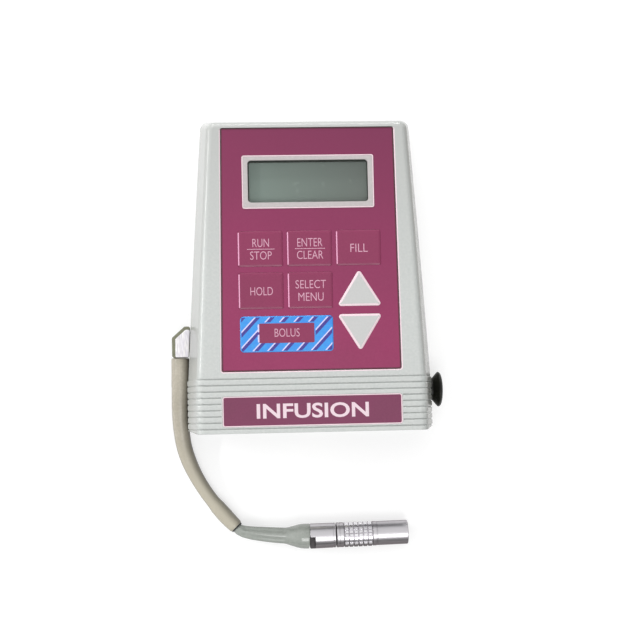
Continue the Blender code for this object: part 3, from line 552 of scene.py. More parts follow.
def swept(points, radii, sides, facets=()):
    """A round solid along a line of places, with a radius at each.

    facets: (how many flutes run along it, how deep each is, the first and last point that they reach).
    """
    shape = bmesh.new()
    side = Vector((0.0, 0.0, 1.0))
    rings = []
    for i, (point, radius) in enumerate(zip(points, radii)):
        ahead = (points[min(i + 1, len(points) - 1)] - points[max(i - 1, 0)]).normalized()
        side = (side - ahead * side.dot(ahead)).normalized()
        other = ahead.cross(side)
        ring = []
        for angle in (2 * pi * k / sides for k in range(sides)):
            reach = radius
            if facets and facets[2] <= i <= facets[3]:
                faded = min(1.0, (i - facets[2]) / 8, (facets[3] - i) / 8)
                reach -= facets[1] * faded * (0.5 - 0.5 * cos(facets[0] * angle))
            ring.append(tuple(point + (side * cos(angle) + other * sin(angle)) * reach))
        rings.append(ring)
    return loft(rings, shape=shape)


def smooth_line(route):
    """A fine line along a smooth curve through a route's points."""
    knots = [Vector(p) for p in route]
    ends = [2 * knots[0] - knots[1]] + knots + [2 * knots[-1] - knots[-2]]
    line = []
    for before, here, there, after in zip(ends, ends[1:], ends[2:], ends[3:]):
        for t in (k / 20 for k in range(20)):
            line.append(
                here + (there - before) * t / 2
                + (2 * before - 5 * here + 4 * there - after) * t * t / 2
                + (3 * here - before - 3 * there + after) * t ** 3 / 2
            )
    return line + [knots[-1]]


def evenly(line, count):
    """`count` points evenly spaced along a line."""
    lengths = [0.0]
    for a, b in zip(line, line[1:]):
        lengths.append(lengths[-1] + (b - a).length)
    points = []
    for k in range(count):
        distance = lengths[-1] * k / (count - 1)
        i = max(j for j, length in enumerate(lengths[:-1]) if length <= distance)
        share = (distance - lengths[i]) / (lengths[i + 1] - lengths[i])
        points.append(line[i].lerp(line[i + 1], share))
    return points


def between(table, value):
    """The value at a place in a table of (place, value) pairs."""
    for (low, first), (high, last) in zip(table, table[1:]):
        if value <= high:
            return first + (last - first) * (value - low) / (high - low)
    return table[-1][1]


# ---- the case

def half_width(y, z):
    t = max(0.0, (y - BAND) / (LENGTH - BAND))
    widest = FOOT_HALF + (TOP_HALF - FOOT_HALF) * t + SIDE_BOW * sin(pi * min(t, 1.0))
    if z < SEAM:
        return widest - BACK_DRAFT * (SEAM - z) / SEAM
    return widest - (SLOPE_FOOT + (SLOPE_TOP - SLOPE_FOOT) * t) * (z - SEAM) / (DEPTH - SEAM)


def top_end(z):
    if z < SEAM:
        return LENGTH - BACK_DRAFT * (SEAM - z) / SEAM
    return LENGTH - SLOPE_TOP * (z - SEAM) / (DEPTH - SEAM)


def rib(y):
    """1 on a rib and 0 in a groove, at a height along the case."""
    gap = min(abs(y - (GROOVE_FIRST - GROOVE_PITCH * i)) for i in range(GROOVES))
    return between(RIB_PROFILE, gap)


def band_stations():
    """The heights along the band where its outline needs a point."""
    found = {0.0, 0.03, 0.08, END_EDGE, 0.5, 0.9, CORNER_CUT[1]}
    for i in range(GROOVES):
        centre = GROOVE_FIRST - GROOVE_PITCH * i
        found |= {round(centre + side * gap, 4) for gap, _ in RIB_PROFILE for side in (-1, 1)}
    return sorted(y for y in found if y >= 0.0)


BAND_ROWS = band_stations()
SIDE_ROWS = [24.0 + 9.2 * k for k in range(10)]


def relief(y, front):
    """How far the surface stands out at a height along the case: front is 0 on a side, 1 on the front."""
    if y > BAND_ROWS[-1]:
        return 0.0
    proud = RIB_PROUD * rib(y) * (1.0 - front) if y < GROOVE_FIRST else 0.0
    # How far the foot's rounded edge sets the surface back.
    rounding_and_painted_shade = END_EDGE - sqrt(END_EDGE ** 2 - (END_EDGE - y) ** 2) if y < END_EDGE else 0.0
    return proud + GROOVE_DEPTH * (rib(y) - 1.0) * front - rounding_and_painted_shade


def corner_cut(y, z):
    """How far a side's corner at the foot stands back, which is less towards the front face."""
    share = min(1.0, (DEPTH - z) / SEAM)
    tall = CORNER_CUT[1] * share
    if y >= tall:
        return 0.0
    return CORNER_CUT[0] * share * (1.0 - y / tall)


def top_corner(z, inset):
    """Where the case's straight side stops, and the arc from there to its top end."""
    radius = max(CORNER - inset, 0.4)
    start = top_end(z) - inset - radius
    centre = half_width(start, z) - inset - radius
    angles = [pi / 2 * k / 8 for k in range(9)]
    return start, [(centre + radius * cos(a), start + radius * sin(a)) for a in angles]


def case_ring(z, inset, tilt, facing):
    """The case's outline at one height, up the right side, round the top and down the left side.

    tilt is how far the surface has turned from the side towards the face, which faces up or down.
    """
    end, arc = top_corner(z, inset)
    front = sin(tilt) if facing > 0 else 0.0
    right = []
    for y in BAND_ROWS + [y for y in SIDE_ROWS if y < end - 1.0] + [end]:
        out = relief(y, front)
        x = half_width(y, z) - inset + out * cos(tilt) - corner_cut(y, z)
        right.append((x, y, z + out * front))
    right += [(x, y, z) for x, y in arc[1:]]
    return right + [(-x, y, height) for x, y, height in reversed(right)]


def pad_share(x, y):
    """1 on the smooth pad round the label and 0 on the ribs."""
    if not PAD_Y[0] < y < PAD_Y[1]:
        return 0.0
    return between([(0.0, 1.0), (PAD_X[0], 1.0), (PAD_X[1], 0.0), (99.0, 0.0)], abs(x))


def front_solid():
    """The front half as a closed block: sloping sides, rounded edge, ribs and front face."""
    tilts = [pi / 2 * k / 9 for k in range(10)]
    levels = [(SEAM + 0.1, 0.0, 0.0), (SEAM + 4.0, 0.0, 0.0), (SEAM + 8.0, 0.0, 0.0)]
    levels += [(DEPTH - EDGE + EDGE * sin(a), EDGE * (1 - cos(a)), a) for a in tilts]
    shape = bmesh.new()
    rows = [[shape.verts.new(at(*p)) for p in case_ring(z, inset, tilt, 1)] for z, inset, tilt in levels]
    count = len(rows[0])
    walls(shape, rows, closed=False)
    shape.faces.new(list(reversed(rows[0])))

    edge = rows[-1]
    lines = []
    for i, y in enumerate(BAND_ROWS):
        right, left = edge[i], edge[count - 1 - i]
        reach = abs((right.co - FOOT).x / MM)
        inner = [PAD_X[1] + (reach - PAD_X[1]) * s for s in (0.7, 0.35, 0.0)]
        inner += [PAD_X[0] + (PAD_X[1] - PAD_X[0]) * s for s in (0.66, 0.33, 0.0)]
        inner += [PAD_X[0] * (1 - s) for s in (0.25, 0.5, 0.75)]
        across = inner + [0.0] + [-x for x in reversed(inner)]
        line = [right]
        for x in across:
            out = relief(y, 1.0) * (1 - pad_share(x, y))
            line.append(shape.verts.new(at(x, y, DEPTH + out)))
        lines.append(line + [left])
    walls(shape, lines, closed=False)
    shape.faces.new(lines[-1] + edge[count - len(BAND_ROWS) - 1:len(BAND_ROWS) - 1:-1])
    foot = [row[0] for row in rows] + lines[0][1:-1] + [row[-1] for row in reversed(rows)]
    shape.faces.new(foot)
    return shape


def overlay_outline(grow=0.0):
    low, high = OVERLAY_Y
    foot, top = OVERLAY_HALF[0] + grow, OVERLAY_HALF[1] + grow
    reach = high + min(grow, 0.22)
    corners = [(-foot, low - grow), (foot, low - grow), (top, reach), (-top, reach)]
    return rounded(corners, max(0.45 + grow, 0.25))


label_outline = framed(*span("name_label")[:2])


def hollow(levels):
    """A cutter for the inside of the case, from below its foot to its top wall."""
    rings = []
    for z in levels:
        right = [(half_width(y, z) - WALL, y) for y in (-2.0, BAND, 50.0, 80.0)] + top_corner(z, WALL)[1]
        rings.append([(x, y, z) for x, y in right + [(-x, y) for x, y in reversed(right)]])
    return loft(rings)


def recess(outline, levels, rim_from):
    """A cutter for a recess, whose flared edge leaves the pale rim's material, a painted highlight, except along
    its top.
    """
    mesh = finished("recess", pad(outline, [(-out, z) for out, z in levels]))
    top = max(vertex.co.y for vertex in mesh.vertices) - 0.3 * MM
    for face in mesh.polygons:
        flared = face.center.z > rim_from * MM and face.center.y < top and abs(face.normal.z) < 0.95
        face.material_index = 1 if flared else 0
    return mesh


def front_case():
    recess_levels = [(0.24, TRAY), (0.24, DEPTH - 0.3), (0.34, DEPTH - 0.14)]
    recess_levels += [(0.66, DEPTH), (0.72, DEPTH + 0.5)]
    label_levels = [(0.0, DEPTH - 0.5), (0.0, DEPTH - 0.06), (0.06, DEPTH), (0.12, DEPTH + 0.5)]
    label_levels = [(LABEL_RIM + 0.06 + out, z) for out, z in label_levels]
    solid = front_solid()
    pocket = [[(x, y, z) for x, y in ((half, -2.0), (half, 5.4), (-half, 5.4), (-half, -2.0))]
              for half, z in ((42.4, 13.0), (39.3, 26.2))]
    cutters = [
        hollow((SEAM - 2.0, SEAM, 23.6)),
        loft(pocket),
        recess(overlay_outline, recess_levels, DEPTH - 0.3),
        recess(label_outline, label_levels, DEPTH + 1.0),
        boxes(((-22.6, 81.6, 22.0), (22.6, 98.2, DEPTH))),
    ]
    mesh = carved("case_front", solid, [CASE, RIM_HIGHLIGHT], cutters=cutters)
    piece("case_front", mesh, [], "case", ["front_housing"], angle=32)


def rear_case():
    tilts = [pi / 2 * k / 6 for k in range(7)]
    levels = [(BACK_EDGE - BACK_EDGE * sin(a), BACK_EDGE * (1 - cos(a)), a) for a in reversed(tilts)]
    levels += [(4.0, 0.0, 0.0), (9.0, 0.0, 0.0), (SEAM - 0.1, 0.0, 0.0)]
    solid = loft([case_ring(z, inset, tilt, -1) for z, inset, tilt in levels])
    joined = [
        boxes(((-27.0, 79.2, 1.5), (27.0, 80.5, 12.0))),
        rod(4.2, (0.0, INSERT_Y, 1.5), 4.5, "Z"),
    ]
    joined += [rod(3.4, (x, y, 1.5), 3.1, "Z") for x, y in POSTS]
    cutters = [
        rod(2.8, (0.0, INSERT_Y, -1.0), 8.0, "Z"),
        boxes(((-DOOR_HALF - 0.2, 81.0, -1.0), (DOOR_HALF + 0.2, 116.0, 1.0))),
        boxes(((-DOOR_HALF - 1.0, 81.0, 0.9), (DOOR_HALF + 1.0, 116.0, 1.95))),
        rod(4.3, (-50.0, PORT_Y, PORT_Z), 10.0, "X"),
        rod(4.3, (40.0, LATCH_Y, LATCH_Z), 10.0, "X"),
    ]
    cutters += [rod(2.6, (x, y, -1.0), 3.2, "Z") for x, y in POSTS]
    cutters += [rod(1.4, (x, y, 1.0), 5.0, "Z") for x, y in POSTS]
    shell = carved("rear_shell", solid, [], cutters=[hollow((WALL, SEAM + 1.0))])
    mesh = carved("case_rear", shell, [CASE], joined, cutters)
    piece("case_rear", mesh, [], "case", ["rear_housing"], angle=32)


# ---- the front face

def legend(name, text, centre, size, body, height, material=LEGEND, bold=-0.008):
    """Printed words: centre is (x, y), and size is (width, height of a capital)."""
    words = bpy.data.curves.new(name, "FONT")
    words.body = text
    words.size = 0.01
    words.offset = bold * 0.01
    words.extrude = 0.0004
    words.align_x = "CENTER"
    words.resolution_u = 4
    thing = add(name, words)
    mesh = evaluated(thing)
    bpy.data.objects.remove(thing)
    xs = [v.co.x for v in mesh.vertices]
    ys = [v.co.y for v in mesh.vertices]
    middle = Vector(((min(xs) + max(xs)) / 2, (min(ys) + max(ys)) / 2, 0.0))
    scale = Vector((size[0] * MM / (max(xs) - min(xs)), size[1] * MM / (max(ys) - min(ys)), 0.03))
    place = at(centre[0], centre[1], height)
    for vertex in mesh.vertices:
        vertex.co = Vector(a * b for a, b in zip(vertex.co - middle, scale)) + place
    mesh.materials.clear()
    piece(name, mesh, [material], body)


def bar(name, x, y, z, body, material, radius=0.05):
    """A thin line of colour as a low bead, for print and for painted highlights along edges."""
    levels = [(0.0, z[0]), (0.0, z[1] - 0.03), (0.04, z[1])]
    piece(name, pad(framed(x, y, radius), levels), [material], body)


KEY_GROW = 0.4
KEY_GAP = 0.03
KEY_LEVELS = [
    (0.0, 27.2), (0.0, 27.67), (0.12, 27.73), (0.3, 27.80), (0.5, 27.86), (0.75, 27.905), (1.05, KEY_TOP),
]
LEGENDS = {
    "key_stop_run": ("RUN", 5.9, "STOP", 7.7), "key_enter": ("ENTER", 9.0, "CLEAR", 9.4),
    "key_fill": ("FILL", 6.2), "key_lock": ("HOLD", 8.0), "key_mode": ("SELECT", 10.9, "MENU", 9.0),
}
RULES = {"key_stop_run": 4.95, "key_enter": 5.4}
CAPITAL = 2.95


def square_key(node):
    """An embossed key with a painted pink highlight along its left edge, and its legend."""
    x, y, _ = span(node)
    piece(node + "_pad", pad(framed(x, y, 0.2, KEY_GROW), KEY_LEVELS), [KEY_PANEL], node, [node])
    left = x[0] - KEY_GROW
    bar(node + "_edge", (left + 0.1, left + 0.52), (y[0] + 0.1, y[1] - 0.1), (27.66, 27.9), node, KEY_EDGE_HIGHLIGHT)
    centre, middle = sum(x) / 2 + 0.2, sum(y) / 2 - 0.15
    words = LEGENDS[node]
    if len(words) == 2:
        legend(node + "_legend", words[0], (centre, middle), (words[1], CAPITAL), node, KEY_TOP + 0.01)
        return
    for end, side, text, width in (("upper", 1, *words[:2]), ("lower", -1, *words[2:])):
        place = (centre, middle + side * 2.25)
        legend(f"{node}_legend_{end}", text, place, (width, CAPITAL), node, KEY_TOP + 0.01)
    if node in RULES:
        reach = RULES[node]
        line = (middle - 0.11, middle + 0.11)
        across = (centre - reach, centre + reach)
        bar(node + "_rule", across, line, (KEY_TOP - 0.06, KEY_TOP + 0.03), node, LEGEND)


ARROW_HALF = 8.2
UP_TALL, DOWN_TALL = 13.2, 13.4


def triangle(node, tip_up, grow=0.0):
    x, y, _ = span(node)
    middle = sum(x) / 2
    left, right = middle - ARROW_HALF, middle + ARROW_HALF
    if tip_up:
        corners = [(left, y[0]), (right, y[0]), (middle, y[0] + UP_TALL)]
    else:
        corners = [(middle, y[1] - DOWN_TALL), (right, y[1]), (left, y[1])]
    return rounded(grown(corners, grow), max(0.9 + grow, 0.25), 6)


def arrow_key(node, tip_up):
    mesh = finished(node, pad(lambda grow: triangle(node, tip_up, grow), KEY_LEVELS))
    # Its sloping edges take the pale rim: a painted highlight.
    for face in mesh.polygons:
        face.material_index = 1 if face.normal.z < 0.985 else 0
    piece(node + "_pad", mesh, [ARROW, RIM_HIGHLIGHT], node, [node])


def clipped(points, x, y):
    """A convex outline cut back to a rectangle."""
    for axis, limit, sign in ((0, x[0], 1), (0, x[1], -1), (1, y[0], 1), (1, y[1], -1)):
        kept = []
        for i, here in enumerate(points):
            before = points[i - 1]
            inside, was_inside = (sign * (p[axis] - limit) >= 0 for p in (here, before))
            if inside != was_inside:
                share = (limit - before[axis]) / (here[axis] - before[axis])
                kept.append(tuple(b + (h - b) * share for b, h in zip(before, here)))
            if inside:
                kept.append(here)
        points = kept
    return points


STRIPE_PITCH = 5.2
STRIPE_LEAN = 0.94
STRIPE_START = -0.92
LIGHT_STRIPE = (-0.5, 0.1)
DARK_STRIPE = (0.1, 1.6)
DOSE_PLAIN = (6.75, 26.45, 3.2, 10.2)


def stripes(name, x, y, shares, material, z):
    """Slanting stripes over the dose key's border: dark print with painted shade on each stripe's shaded side, and
    a painted highlight on its lit side.
    """
    left, right, low, high = DOSE_PLAIN
    inner_x, inner_y = (x[0] + left, x[0] + right), (y[0] + low, y[0] + high)
    border = [((x[0], inner_x[0]), y), ((inner_x[1], x[1]), y)]
    border += [(inner_x, (y[0], inner_y[0])), (inner_x, (inner_y[1], y[1]))]
    shape = bmesh.new()
    lean = (y[1] - y[0]) * STRIPE_LEAN
    for k in range(-3, 8):
        start = x[0] + STRIPE_START + STRIPE_PITCH * k
        bottom, top = start, start + lean
        stripe = [(bottom + share, y[0]) for share in shares]
        stripe += [(top + share, y[1]) for share in reversed(shares)]
        for span_x, span_y in border:
            points = clipped(stripe, span_x, span_y)
            if len(points) > 2:
                loft([[(px, py, h) for px, py in points] for h in z], shape=shape)
    piece(name, shape, [material], "key_dose")


def dose_key():
    """The long key: a blue border with slanting stripes round a plain field."""
    x, y, _ = span("key_dose")
    top = 27.88
    levels = [(0.0, 27.2), (0.0, 27.68), (0.12, 27.76), (0.3, 27.84), (0.5, top)]
    piece("dose_pad", pad(framed(x, y, 1.3), levels), [BLUE], "key_dose", ["key_dose"])
    edge_x, edge_y = (x[0] + 0.42, x[1] - 0.42), (y[0] + 0.42, y[1] - 0.42)
    stripes("dose_stripes_dark", edge_x, edge_y, DARK_STRIPE, VIOLET_PRINT_AND_SHADE, (27.7, top + 0.02))
    stripes("dose_stripes_light", edge_x, edge_y, LIGHT_STRIPE, LAVENDER_HIGHLIGHT, (27.7, top + 0.04))
    left, right, low, high = DOSE_PLAIN
    field_x, field_y = (x[0] + left, x[0] + right), (y[0] + low, y[0] + high)
    levels = [(0.0, 27.7), (0.0, top + 0.02), (0.06, top + 0.05)]
    piece("dose_field", pad(framed(field_x, field_y, 0.4), levels), [KEY_PANEL], "key_dose")
    # Lavender bars at the plain field's left edge: a painted highlight.
    for k, (low, high) in enumerate(((0.3, 3.0), (3.9, 6.7))):
        ends = (field_y[0] + low, field_y[0] + high)
        bar(f"dose_field_edge_{k}", (field_x[0] - 0.5, field_x[0] + 0.05), ends, (27.7, top + 0.06), "key_dose",
            LAVENDER_HIGHLIGHT, 0.25)
    centre = (sum(field_x) / 2 + 0.1, sum(field_y) / 2 + 0.15)
    legend("dose_legend", "BOLUS", centre, (8.9, CAPITAL), "key_dose", top + 0.06)


def overlay():
    holes = [framed(*span("display_bezel")[:2], 0.8, 0.06), framed(*span("key_dose")[:2], 1.3, KEY_GAP)]
    holes += [framed(*span(node)[:2], 0.2, KEY_GAP + KEY_GROW) for node in LEGENDS]
    for node, tip_up in (("key_up", True), ("key_down", False)):
        holes.append(lambda grow, node=node, tip_up=tip_up: triangle(node, tip_up, KEY_GAP + grow))
    top = OVERLAY_TOP
    shape = sheet(overlay_outline, holes, [(0.0, 27.2), (0.0, top - 0.04), (0.04, top)])
    piece("overlay_film", shape, [PANEL], "case", ["keypad_overlay"])
    # A dark strip along the overlay's outer edge: a painted shadow where the recess's edge shades it.
    outer, inner = (lambda grow, inset=inset: overlay_outline(grow - inset) for inset in (0.06, 0.36))
    shape = sheet(outer, [inner], [(0.0, top - 0.03), (0.0, top + 0.008)])
    piece("overlay_edge_shadow", shape, [PANEL_EDGE_SHADOW], "case")


def display():
    x, y, z = span("display_bezel")
    rim, top = 0.42, z[1]
    opening = framed((x[0] + 2.1, x[1] - 2.1), (y[0] + 2.2, y[1] - 1.8), 1.2)
    levels = [(0.0, z[0]), (0.0, top - 0.08), (0.06, top)]
    # A thin pale rim round the bezel: a painted highlight.
    shape = sheet(framed(x, y, 0.8), [framed(x, y, 0.5, -rim)], levels)
    piece("bezel_rim", shape, [RIM_HIGHLIGHT], "case")
    levels = [(0.0, z[0]), (0.0, top - 0.12), (0.04, top - 0.06), (0.12, top - 0.03)]
    shape = sheet(framed(x, y, 0.5, -rim - 0.01), [opening], levels)
    piece("bezel_frame", shape, [BEZEL], "case", ["display_bezel"])

    window = span("display_window")
    low, high = window[2]
    levels = [(0.05, low), (0.0, low + 0.05), (0.0, high - 0.05), (0.05, high)]
    piece("window", pad(framed(*window[:2], 0.8), levels), [WINDOW], "case", ["display_window"])
    levels = [(0.0, 22.7), (0.0, 25.5), (0.1, 25.6)]
    glass = pad(framed((-22.5, 22.5), (81.7, 98.1), 0.5), levels)
    piece("display_glass", glass, [GLASS], "case", ["display_panel"])
    # A dark border round the display's glass, widest at the left and top: the seal, and a painted shadow of the
    # frame.
    hole = framed((x[0] + 2.6, x[1] - 2.3), (y[0] + 2.4, y[1] - 2.4))
    shape = sheet(framed((-22.45, 22.45), (81.75, 98.05), 0.5), [hole], [(0.0, 25.61), (0.02, 25.72)])
    piece("display_mask", shape, [SEAL_AND_SHADOW], "case")


def label():
    x, y, z = span("name_label")
    levels = [(0.0, z[0]), (0.0, PLATE_TOP - 0.04), (0.05, PLATE_TOP)]
    # A thin pale rim round the label: a painted highlight.
    shape = sheet(framed(x, y, 0.6, LABEL_RIM), [label_outline], levels)
    piece("label_rim", shape, [RIM_HIGHLIGHT], "case")
    levels = [(0.01, z[0]), (0.01, z[1] - 0.04), (0.04, z[1])]
    piece("label_plate", pad(label_outline, levels), [LABEL], "case", ["name_label"])
    centre = (sum(x) / 2, sum(y) / 2)
    legend("label_words", "INFUSION", centre, (40.0, 5.3), "case", z[1] + 0.01, LETTER, 0.02)


# ---- the side pieces

def knob():
    profile = [(0, 5.85)]
    for k in range(1, 12):
        angle = radians(90 * k / 12)
        profile.append((6.15 * sin(angle), 4.7 + 1.15 * cos(angle)))
    profile += [(6.3, 4.65), (6.42, 4.45), (6.42, 4.25), (6.32, 4.05), (6.05, 3.75), (4.3, 2.25), (4.05, 2.0)]
    profile += [(4.0, 1.5), (4.0, 0), (2.15, 0), (2.15, 2.6), (0, 2.6)]
    solid = turned(profile, (43.4, LATCH_Y, LATCH_Z), "X")
    slot = boxes(((48.2, LATCH_Y - 4.6, LATCH_Z - 0.6), (51.0, LATCH_Y + 4.6, LATCH_Z + 0.6)))
    mesh = carved("knob", solid, [BLACK], cutters=[slot])
    piece("latch_dial", mesh, [], "latch_turn", ["latch_knob"], angle=28)


def hood():
    """The clear right-angle hood, with the pale plug inside it."""
    low, high = span("plug_hood")[2]
    corners = [(-50.0, 28.0), (-43.85, 28.0), (-43.25, 39.3), (-45.4, 39.3), (-50.0, 35.2)]
    core = [(-48.8, 28.1), (-43.95, 28.1), (-43.4, 38.15), (-45.0, 38.15), (-48.8, 34.75)]
    levels = [(0.5, low), (0.14, low + 0.16), (0.0, low + 0.5)]
    levels += [(0.0, high - 0.5), (0.14, high - 0.16), (0.45, high)]
    shape = pad(lambda grow: rounded(grown(corners, grow), max(0.75 + grow, 0.12)), levels)
    piece("hood_shell", shape, [CLEAR], "case", ["plug_hood"])
    levels = [(0.3, low + 0.6), (0.0, low + 0.9), (0.0, high - 0.1), (0.12, high + 0.04), (0.4, high + 0.12)]
    shape = pad(lambda grow: rounded(grown(core, grow), max(0.6 + grow, 0.1)), levels)
    piece("hood_plug", shape, [PLUG], "case")
    barrel = [(0, 0.0), (2.8, 0.0), (3.0, 0.2), (3.0, 5.9), (2.8, 6.1), (0, 6.1)]
    piece("hood_barrel", turned(barrel, (-44.4, PORT_Y, PORT_Z), "X", 48), [ACETAL], "case")


# ---- the lead

LEAN = radians(1.1)
LEAN_ABOUT = Vector((17.0, CONNECTOR_Y, CONNECTOR_Z))
LEAD_ROUTE = [
    (-47.1, 27.88, 9.05), (-47.15, 22.0, 8.8), (-47.3, 16.0, 7.8), (-47.5, 10.0, 6.3),
    (-47.4, 4.5, 4.9), (-46.95, -0.5, 4.0), (-46.15, -5.1, 3.35), (-44.7, -9.7, 3.05),
    (-42.7, -14.3, 2.9), (-40.1, -19.0, 2.85), (-37.1, -23.5, 2.85), (-33.75, -27.75, 3.1),
    (-30.4, -31.55, 3.35), (-27.3, -34.75, 3.7),
]
BOOT_ROUTE = [
    (-28.2, -33.9, 3.6), (-26.9, -35.2, 3.8), (-24.8, -36.15, 4.1), (-22.2, -36.7, 4.35), (-18.8, -37.15, 4.55),
    (-13.0, -37.75, 4.65), (-7.0, -38.2, 4.65), (-0.95, -38.42, 4.65),
]
SLEEVE_RADII = [
    (0.0, 3.1), (0.006, 3.25), (0.15, 3.25), (0.157, 3.17), (0.17, 3.17), (0.42, 2.92), (0.55, 2.82),
    (0.63, 2.65), (0.7, 2.53), (0.8, 2.5), (0.825, 2.58), (0.85, 2.8), (0.9, 2.88), (0.94, 2.8),
    (0.985, 2.65), (0.9915, 2.56), (0.993, 2.28), (1.0, 2.25),
]
BOOT_RADII = [
    (0.0, 1.7), (0.05, 1.85), (0.09, 2.1), (0.14, 2.4), (0.26, 2.68), (0.36, 2.85), (0.465, 3.0), (0.57, 3.12),
    (0.68, 3.18), (0.74, 3.35), (0.79, 3.7), (0.84, 4.15), (0.89, 4.45), (0.94, 4.57), (0.99, 4.6), (1.0, 4.5),
]


def lead():
    points = evenly(smooth_line(LEAD_ROUTE), 141)
    radii = [between(SLEEVE_RADII, i / 140) for i in range(141)]
    mesh = finished("sleeve", swept(points, radii, 40))
    way = (points[-1] - points[-2]).normalized()
    # The sleeve's last 0.62 mm takes the dark rubber: a painted shadow in the gap where the boot comes out.
    for face in mesh.polygons:
        face.material_index = int(((face.center - FOOT) / MM - points[-1]).dot(way) > -0.62)
    sleeve = piece("lead_sleeve", mesh, [SLEEVE, RUBBER_AND_GAP_SHADE], "case", ["cord"])
    ahead = evenly(smooth_line(BOOT_ROUTE), 121)
    radii = [between(BOOT_RADII, i / 120) for i in range(121)]
    shape = swept(ahead, radii, 72, (6, 0.34, 10, 90))
    boot = piece("lead_boot", shape, [BOOT], "case", ["cord_boot"])
    return sleeve, boot, [at(*p) for p in points[::4]]


def fitting(name, mesh, materials, replaces=(), angle=35):
    """A piece of the connector, turned by the little that it lies askew."""
    thing = piece(name, mesh, materials, "case", replaces, angle)
    middle = Matrix.Translation(at(*LEAN_ABOUT))
    thing.data.transform(middle @ Matrix.Rotation(LEAN, 4, "Z") @ middle.inverted())
    return thing


def studs(shape, start, columns, around, radii, x):
    """Rows of small square pyramids with flat tops round a cylinder along +X."""
    pitch = (x[1] - x[0]) / columns
    for column in range(columns):
        for i in range(around):
            rings = []
            for share, radius in zip((0.45, 0.34), radii):
                ring = []
                for along, round_ in ((-1, -1), (1, -1), (1, 1), (-1, 1)):
                    angle = 2 * pi * (i + round_ * share) / around
                    place = x[0] + pitch * (column + 0.5 + along * share)
                    offset = (place, radius * cos(angle), radius * sin(angle))
                    ring.append(tuple(Vector(start) + Vector(offset)))
                rings.append(ring)
            loft(rings, shape=shape)


def connector():
    start = (0.0, CONNECTOR_Y, CONNECTOR_Z)
    nut = [
        (0, 8.72), (4.25, 8.72), (4.45, 8.66), (4.55, 8.52), (4.55, 8.12), (4.47, 8.04), (4.47, 7.78),
        (4.55, 7.7), (4.6, 0.0), (4.57, -0.55), (4.4, -0.75), (0, -0.75),
    ]
    low = (-2.0, CONNECTOR_Y - 6.0, CONNECTOR_Z + 0.8)
    high = (1.15, CONNECTOR_Y - 0.1, CONNECTOR_Z + 6.0)
    mesh = carved("nut", turned(nut, start, "X"), [METAL, NOTCH_SHADE], cutters=[boxes((low, high))])
    # Faces inside the notch take the painted shade.
    for face in mesh.polygons:
        middle = (face.center - FOOT) / MM - Vector(start)
        face.material_index = int(middle.yz.length < 4.0 and middle.x < 1.2)
    nut_piece = fitting("lead_nut", mesh, [], ["connector_nut"], 28)

    shell = [
        (0, 18.0), (3.5, 18.0), (3.5, 35.3), (3.6, 35.4), (4.15, 35.4), (4.32, 35.32), (4.4, 35.15),
        (4.42, 24.1), (4.32, 24.0), (4.32, 23.8), (4.5, 23.7), (4.5, 22.45), (4.38, 22.35), (4.15, 22.3),
        (4.15, 11.75), (4.46, 11.65), (4.56, 11.55), (4.56, 10.4), (4.46, 10.3), (4.46, 10.1), (4.56, 10.0),
        (4.56, 9.3), (4.48, 9.1), (4.1, 9.02), (0, 9.02),
    ]
    shell_piece = fitting("lead_shell", turned(shell, start, "X"), [METAL], ["connector_shell"], 28)
    root = [(0, 11.7), (4.0, 11.7), (4.28, 11.75), (4.28, 22.3), (4.0, 22.35), (0, 22.35)]
    root_piece = fitting("lead_knurl_root", turned(root, start, "X"), [DARK_METAL])
    shape = bmesh.new()
    studs(shape, start, 6, 24, (4.25, 4.62), (11.8, 22.2))
    knurl = fitting("lead_knurl", shape, [STUD_METAL])

    shape = turned([(0, 30.5), (3.0, 30.5), (3.2, 30.3), (3.2, 18.3), (0, 18.3)], start, "X", 64)
    insert = fitting("lead_insert", shape, [FRAME], ["connector_insert"])
    shape = bmesh.new()
    for k in range(7):
        radius, angle = (0.0, 0.0) if k == 6 else (1.75, pi / 3 * k)
        place = Vector(start) + Vector((30.3, radius * cos(angle), radius * sin(angle)))
        pin = [(0, 2.6), (0.2, 2.55), (0.34, 2.3), (0.36, 2.1), (0.36, 0.0), (0, 0.0)]
        turned(pin, place, "X", 16, shape)
    pins = fitting("lead_pins", shape, [BRASS])
    return [nut_piece, shell_piece, root_piece, knurl, insert, pins]


# ---- back, foot and inside

def screws():
    for i, (x, y) in enumerate(POSTS, 1):
        profile = [
            (0, 12.4), (0.8, 12.4), (1.15, 11.9), (1.15, 1.5), (2.3, 1.5), (2.3, 0.55), (2.2, 0.25),
            (1.9, 0.07), (1.4, 0.0), (0, 0.0),
        ]
        solid = turned(profile, (x, y, 0.5), "Z", 48)
        arms = [
            boxes(((x - 1.3, y - 0.24, 0.0), (x + 1.3, y + 0.24, 1.3))),
            boxes(((x - 0.24, y - 1.3, 0.0), (x + 0.24, y + 1.3, 1.3))),
        ]
        mesh = carved("screw", solid, [STEEL], cutters=arms)
        piece(f"screw_{i}", mesh, [], "case", [f"case_screw_{i}"], angle=28)


